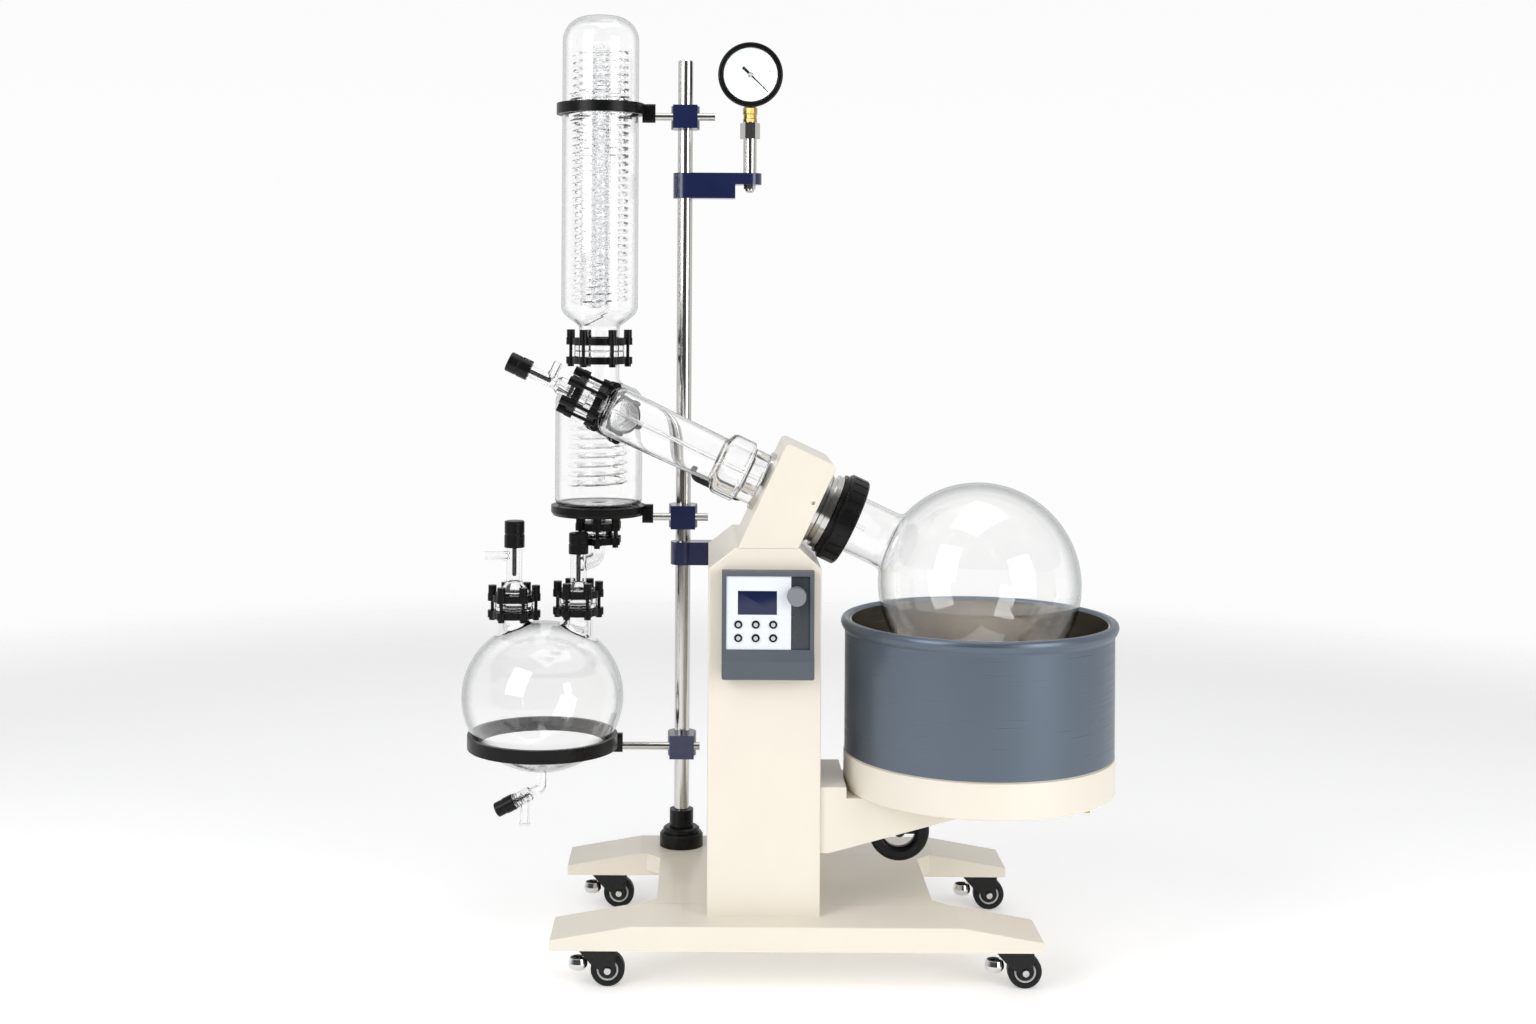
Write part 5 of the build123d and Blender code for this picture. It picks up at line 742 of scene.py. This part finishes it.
def makeBath():
    b = bath
    can = roundLoop(
        [
            (b["radius"] - b["wall"], b["bottom"]), (b["radius"], b["bottom"], 0.8),
            (b["radius"], b["rim"] - 5, 4), (b["rimRadius"] - 3, b["rim"], 4),
            (b["rimRadius"], b["rim"] + 8, 6), (b["rimRadius"] - 2, b["rimTop"], 6),
            (b["tub"] + 3, b["rimTop"], 4), (b["tub"] + 0.2, b["rimTop"] - 6, 3),
            (b["tub"] + 0.2, b["rim"]),
            (b["radius"] - b["wall"], b["rim"]),
        ]
    )
    canPart = lathe(can, bathPlace, 160)
    makePiece("bathCan", [canPart], "lift", bathPaint, ["bath_can"], 40)
    wall, edge = b["tubWall"], b["rimTop"] - 5
    tub = roundLoop(
        [
            (0, b["floor"]), (b["tub"], b["floor"], 14), (b["tub"], edge), (b["tub"] - wall, edge),
            (b["tub"] - wall, b["floor"] + wall, 12), (0, b["floor"] + wall),
        ],
        closed=False,
    )
    parts = [lathe(tub, bathPlace, 160, closed=False)]
    for radius in b["heaters"]:
        inner, outer = radius - b["heaterHalf"], radius + b["heaterHalf"]
        low, high = b["heaterLow"], b["floor"]
        ring = [(inner, low, 3), (outer, low, 3), (outer, high), (inner, high)]
        parts.append(lathe(roundLoop(ring), bathPlace, 96))
    makePiece("bathTub", parts, "lift", tubSteel, ["bath_tub"], 40)
    pan = roundLoop(
        [
            (0, b["panLow"]), (b["pan"], b["panLow"], 4), (b["pan"], b["panHigh"], 2.5),
            (b["lip"], b["panHigh"], 0.5), (b["lip"], b["floor"]), (b["lipInner"], b["floor"]),
            (b["lipInner"], b["panFloor"]), (0, b["panFloor"]),
        ],
        closed=False,
    )
    panPart = lathe(pan, bathPlace, 160, closed=False)
    makePiece("bathPan", [panPart], "lift", creamPaint, ["bath_pan"], 40)


tubSteel = metal("tub steel", (0.68, 0.63, 0.56), 0.17, (1, 1, 110), 7, 0.02, shade=0.93)
makeBath()
print("bath made")

# CAD nodes that stay
nodeFinishes = (
    (creamPaint, "base_beams base_deck column_casing rear_cover head_housing lift_arm"),
    (slatePlastic, "control_box"),
    (whitePlastic, "panel_face"),
    (polished, "bearings_and_seals rotor_shaft motor_pulley lift_guides stand_rods gauge_stem"),
    (blackRubber, "drive_belt drain_hose"),
    (blackMetal, "drive_motor gauge_needle caster_plates"),
    (navyPaint, "pole_clamps"),
    (blackPlastic, "pole_foot support_rings joint_clamps flask_collar handwheel"),
    (blackPlastic, "feed_valve_cap inlet_valve_cap vent_valve_cap drain_valve_knob"),
    (brass, "bath_nipple"),
    (greyPlastic, "speed_knob"),
    (clearGlass, "valve_adapters"),
)
for material, names in nodeFinishes:
    for name in names.split():
        wearNode(name, material)
for number in range(1, 7):
    wearNode(f"button_{number}", blackPlastic)
for corner in ("front_left", "front_right", "rear_left", "rear_right"):
    wearNode(f"{corner}_fork", blackMetal)
    wearNode(f"{corner}_wheel", blackRubber)
    wearNode(f"{corner}_pedal", chrome)

# Gauge face, control panel and caster details
dialWhite = plastic("dial white", (0.74, 0.80, 0.88), 0.3)
screenBlue = plastic("screen blue", (0.008, 0.014, 0.055), 0.12)
stripGrey = plastic("strip grey", (0.03, 0.037, 0.045), 0.3)
capGrey = plastic("cap grey", (0.5, 0.52, 0.53), 0.4)
# The lens glass also gets painted shade where it is seen edge on.
lensGlass = glass("lens glass", ior=1.2)
gauge = dict(
    x=-48, z=1543, back=249, bezel=60, body=56, dial=50, floor=37, depth=44, ticks=50, major=5,
    sweep=270, start=225, dialFace=(49.6, 37.02, 37.18), lens=(49.9, 41.2, 42.4),
    markRadius=45.5, markLow=37.19, markHigh=37.26, majorLength=5.5, minorLength=2.6,
    majorHalf=0.32, minorHalf=0.18, numberRadius=35, numberSize=5.2, numberLift=37.22,
    numberThick=0.05, numberStep=27, numbers=range(0, 11, 2),
    rim=[(49.4, 37.2), (50, 37.2), (50, 41, 0.2), (49.2, 41, 0.2)],
    hub=[(0, 38.6), (4.6, 38.6, 0.3), (3.8, 40.2, 0.8), (0, 40.4)],
    neckAway=226,
    neck=[
        (11.7, 1456), (13.2, 1456, 0.6), (13.2, 1462, 0.6), (12.2, 1463), (12.2, 1470),
        (13.6, 1471, 0.6), (13.6, 1482, 0.6), (12.2, 1483), (11.7, 1483),
    ],
)


def tickMarks(place):
    # Thin bars along radii; every few is longer. All bars are one array of boxes.
    g = gauge
    spots = np.arange(g["ticks"] + 1)
    angles = np.radians(g["start"] - spots * g["sweep"] / g["ticks"])
    major = spots % g["major"] == 0
    radius = g["markRadius"]
    inner = np.where(major, radius - g["majorLength"], radius - g["minorLength"])
    half = np.where(major, g["majorHalf"], g["minorHalf"])
    along = np.stack([np.cos(angles), np.sin(angles)], 1)
    across = np.stack([-np.sin(angles), np.cos(angles)], 1)
    ends = np.stack([inner, np.full_like(inner, radius)], 1)
    flat = []
    for end, sign in ((0, -1), (1, -1), (1, 1), (0, 1)):
        flat.append(along * ends[:, end:end + 1] + across * (half * sign)[:, None])
    flat = np.stack(flat, 1)
    levels = [
        np.concatenate([flat, np.full((*flat.shape[:2], 1), height)], 2)
        for height in (g["markLow"], g["markHigh"])
    ]
    points = np.concatenate(levels, 1).reshape(-1, 3)
    box = [(3, 2, 1, 0), (4, 5, 6, 7), (0, 1, 5, 4), (1, 2, 6, 5), (2, 3, 7, 6), (3, 0, 4, 7)]
    faces = (np.arange(len(flat))[:, None, None] * 8 + np.array(box)).reshape(-1, 4)
    return toWorld(points, place), faces


def numberMesh(number, place):
    # A plain number as a thin solid, standing at its angle on the dial.
    g = gauge
    curve = bpy.data.curves.new("number", "FONT")
    curve.body, curve.size, curve.extrude = str(number), g["numberSize"], g["numberThick"]
    curve.align_x, curve.align_y = "CENTER", "CENTER"
    holder = bpy.data.objects.new("number", curve)
    mesh = bpy.data.meshes.new_from_object(holder)
    points = np.empty(len(mesh.vertices) * 3)
    mesh.vertices.foreach_get("co", points)
    faces = [list(polygon.vertices) for polygon in mesh.polygons]
    bpy.data.meshes.remove(mesh)
    bpy.data.objects.remove(holder)
    bpy.data.curves.remove(curve)
    angle = math.radians(g["start"] - number * g["numberStep"])
    x, y = g["numberRadius"] * math.cos(angle), g["numberRadius"] * math.sin(angle)
    return toWorld(points.reshape(-1, 3) + np.array([x, y, g["numberLift"]]), place), faces


def discPart(radius, low, high, place):
    return lathe([(0, low), (radius, low), (radius, high), (0, high)], place, 96, closed=False)


def makeGauge():
    g = gauge
    place = facing(g["x"], g["back"], g["z"])
    case = roundLoop(
        [
            (0, 0), (g["body"], 0, 3), (g["body"], 29.5, 1), (g["bezel"] - 1, 30, 1),
            (g["bezel"], 34, 2), (g["bezel"], g["depth"], 4), (g["dial"] + 2, g["depth"], 2),
            (g["dial"], g["floor"] + 3, 1), (g["dial"], g["floor"]), (0, g["floor"]),
        ],
        closed=False,
    )
    caseParts = [lathe(case, place, 96, closed=False)]
    makePiece("gaugeCase", caseParts, "stand", blackPlastic, ["gauge_case"])
    makePiece("gaugeDial", [discPart(*g["dialFace"], place)], "stand", dialWhite)
    makePiece("gaugeRim", [lathe(roundLoop(g["rim"]), place, 96)], "stand", polished)
    marks = [tickMarks(place)] + [numberMesh(number, place) for number in g["numbers"]]
    makePiece("gaugeMarks", marks, "stand", blackPlastic, sharp=30)
    hub = lathe(roundLoop(g["hub"], closed=False), place, 32, closed=False)
    makePiece("gaugeHub", [hub], "needle", polished)
    makePiece("gaugeLens", [discPart(*g["lens"], place)], "stand", lensGlass)
    neck = lathe(roundLoop(g["neck"]), upright(g["x"], g["neckAway"]), 12)
    makePiece("gaugeNeck", [neck], "stand", brass, sharp=20)


makeGauge()

# Each plate's left, right, low, high, back, front and corner radius.
panel = dict(
    screen=(-73, -9, 614, 653, -200.1, -201.2, 1.0),
    strip=(14.8, 44, 558, 676, -200.05, -200.9, 1.5),
    buttonFace=-202, buttonX=(-72, -43.5, -15), buttonZ=(598, 576),
    cap=[(0, 2.2), (3.6, 2.2, 0.2), (3.6, 2.9, 0.4), (0, 3.0)],
)


def platePart(left, right, low, high, back, front, radius, bevel=0.3):
    place = facing((left + right) / 2, back, (low + high) / 2)
    return prism(roundedBox(right - left, high - low, radius), 0, back - front, place, bevel)


def makePanel():
    p = panel
    screen, strip = platePart(*p["screen"]), platePart(*p["strip"])
    makePiece("panelScreen", [screen], "stand", screenBlue)
    makePiece("panelStrip", [strip], "stand", stripGrey)
    profile = roundLoop(p["cap"], closed=False)
    spots = [(x, z) for z in p["buttonZ"] for x in p["buttonX"]]
    for number, (x, z) in enumerate(spots, 1):
        cap = lathe(profile, facing(x, p["buttonFace"], z), 32, closed=False)
        makePiece(f"buttonCap{number}", [cap], f"button_{number}_body", capGrey)


makePanel()

caster = dict(
    corners=dict(
        front_left=(-303, -176), front_right=(382, -176), rear_left=(-303, 226),
        rear_right=(382, 226),
    ),
    axleX=20, axleZ=28,
    ring=[(14.6, 8.6), (17.7, 8.6), (17.7, 10.9, 0.6), (14.6, 10.3, 0.6)],
    bolt=[(0, 18.55), (5.7, 18.55, 0.2), (5.4, 19.4, 0.6), (2.2, 19.7), (2.0, 19.1), (0, 19.1)],
)


def makeCasters():
    c = caster
    ring, bolt = roundLoop(c["ring"]), roundLoop(c["bolt"], closed=False)
    for corner, (x, y) in c["corners"].items():
        places = [makePlace((x + c["axleX"], y, c["axleZ"]), (0, way, 0)) for way in (-1, 1)]
        rings = [lathe(ring, place, 64) for place in places]
        bolts = [lathe(bolt, place, 32, closed=False) for place in places]
        makePiece(f"{corner}HubRings", rings, f"{corner}_roller", capGrey)
        makePiece(f"{corner}Bolts", bolts, f"{corner}_caster", polished)


makeCasters()
print("details made")

# Studio: pale floor that fades into a white surround, soft lamps, level camera
studio = dict(
    floorSize=9.0, fadeStart=2.6, fadeEnd=4.2, floorColor=(0.93, 0.93, 0.935), floorRoughness=0.6,
    floorGloss=0.2, floorGlow=0.3, evenLight=0.4, dim=0.08, bright=0.8, dimUntil=-0.75,
    brightFrom=0.25, white=0.98, greyer=0.95, whiteUntil=0.02, greyerFrom=0.3,
)
fullWhite = (1, 1, 1, 1)


def addObject(name, data):
    made = bpy.data.objects.new(name, data)
    bpy.context.scene.collection.objects.link(made)
    return made


def makeFloor():
    s = studio
    size = s["floorSize"]
    mesh = bpy.data.meshes.new("floor")
    corners = [(-size, -size, 0), (size, -size, 0), (size, size, 0), (-size, size, 0)]
    mesh.from_pydata(corners, [], [(0, 1, 2, 3)])
    material, tree, shader = newMaterial(
        "floor", s["floorColor"], roughness=s["floorRoughness"], gloss=s["floorGloss"]
    )
    shader.inputs["Emission Color"].default_value = fullWhite
    shader.inputs["Emission Strength"].default_value = s["floorGlow"]
    place = addNode(tree, "ShaderNodeTexCoord")
    length = addNode(tree, "ShaderNodeVectorMath", operation="LENGTH")
    tree.links.new(place.outputs["Object"], length.inputs[0])
    distance = length.outputs["Value"]
    fade = spread(tree, distance, 0.0, 1.0, s["fadeStart"], s["fadeEnd"], "SMOOTHSTEP")
    clear = addNode(tree, "ShaderNodeBsdfTransparent")
    surface = mixShaders(tree, fade, shader.outputs["BSDF"], clear.outputs["BSDF"])
    tree.links.new(surface, tree.nodes["Material Output"].inputs["Surface"])
    mesh.materials.append(material)
    addObject("floor", mesh)


def makeWorld():
    # Diffuse light is even; reflections see a dim studio in front and a white one
    # behind; the camera and glass see a near-white surround that greys upwards.
    s = studio
    world = bpy.data.worlds.new("studio")
    bpy.context.scene.world = world
    world.use_nodes = True
    tree = world.node_tree
    tree.nodes.clear()
    output = addNode(tree, "ShaderNodeOutputWorld")
    path = addNode(tree, "ShaderNodeLightPath")
    way = addNode(tree, "ShaderNodeTexCoord")
    parts = addNode(tree, "ShaderNodeSeparateXYZ")
    tree.links.new(way.outputs["Generated"], parts.inputs["Vector"])
    even, mirrored, white = (
        addNode(tree, "ShaderNodeBackground", {"Color": fullWhite}) for _ in range(3)
    )
    even.inputs["Strength"].default_value = s["evenLight"]
    away, up = parts.outputs["Y"], parts.outputs["Z"]
    depth = spread(
        tree, away, s["dim"], s["bright"], s["dimUntil"], s["brightFrom"], "SMOOTHSTEP"
    )
    tree.links.new(depth, mirrored.inputs["Strength"])
    height = spread(
        tree, up, s["white"], s["greyer"], s["whiteUntil"], s["greyerFrom"], "SMOOTHSTEP"
    )
    tree.links.new(height, white.inputs["Strength"])
    either = addNode(tree, "ShaderNodeMath", operation="MAXIMUM")
    tree.links.new(path.outputs["Is Camera Ray"], either.inputs[0])
    tree.links.new(path.outputs["Is Transmission Ray"], either.inputs[1])
    plain, studioLike, surround = (node.outputs["Background"] for node in (even, mirrored, white))
    shine = mixShaders(tree, path.outputs["Is Glossy Ray"], plain, studioLike)
    surface = mixShaders(tree, either.outputs["Value"], shine, surround)
    tree.links.new(surface, output.inputs["Surface"])


def softLamp(name, location, target, width, height, power):
    lamp = bpy.data.lights.new(name, "AREA")
    lamp.shape = "RECTANGLE"
    lamp.size, lamp.size_y, lamp.energy = width, height, power
    made = addObject(name, lamp)
    way = Vector(target) - Vector(location)
    made.location = location
    made.rotation_euler = way.to_track_quat("-Z", "Y").to_euler()


makeFloor()
makeWorld()
softLamp("left softbox", (-2.1, -2.2, 2.3), (-0.1, 0, 0.85), 1.7, 2.5, 60)
softLamp("right softbox", (2.3, -2.2, 1.35), (0.1, 0, 0.75), 1.5, 2.2, 44)
softLamp("top softbox", (0.2, -0.2, 3.6), (0, 0, 0.6), 2.4, 1.8, 20)

# The lens centre is the pixel that lies straight ahead of the camera.
view = dict(
    location=(-126, -3302, 1137), roll=-0.33, sensor=36, focalPixels=1900, imageWidth=1536,
    imageHeight=1024, center=(707.1, 294), bounces=26, glassBounces=24,
)


def makeCamera():
    v = view
    width, (centerX, centerY) = v["imageWidth"], v["center"]
    camera = bpy.data.cameras.new("camera")
    made = addObject("camera", camera)
    made.location = [value * mm for value in v["location"]]
    made.rotation_euler = (math.radians(90), math.radians(v["roll"]), 0)
    camera.sensor_width = v["sensor"]
    camera.lens = v["focalPixels"] / width * v["sensor"]
    camera.shift_x = (width / 2 - centerX) / width
    camera.shift_y = (centerY - v["imageHeight"] / 2) / width
    scene = bpy.context.scene
    scene.camera = made
    scene.view_settings.view_transform = "Standard"
    scene.cycles.max_bounces = v["bounces"]
    scene.cycles.transmission_bounces = v["glassBounces"]
    scene.cycles.transparent_max_bounces = v["glassBounces"]


makeCamera()
print("studio made")
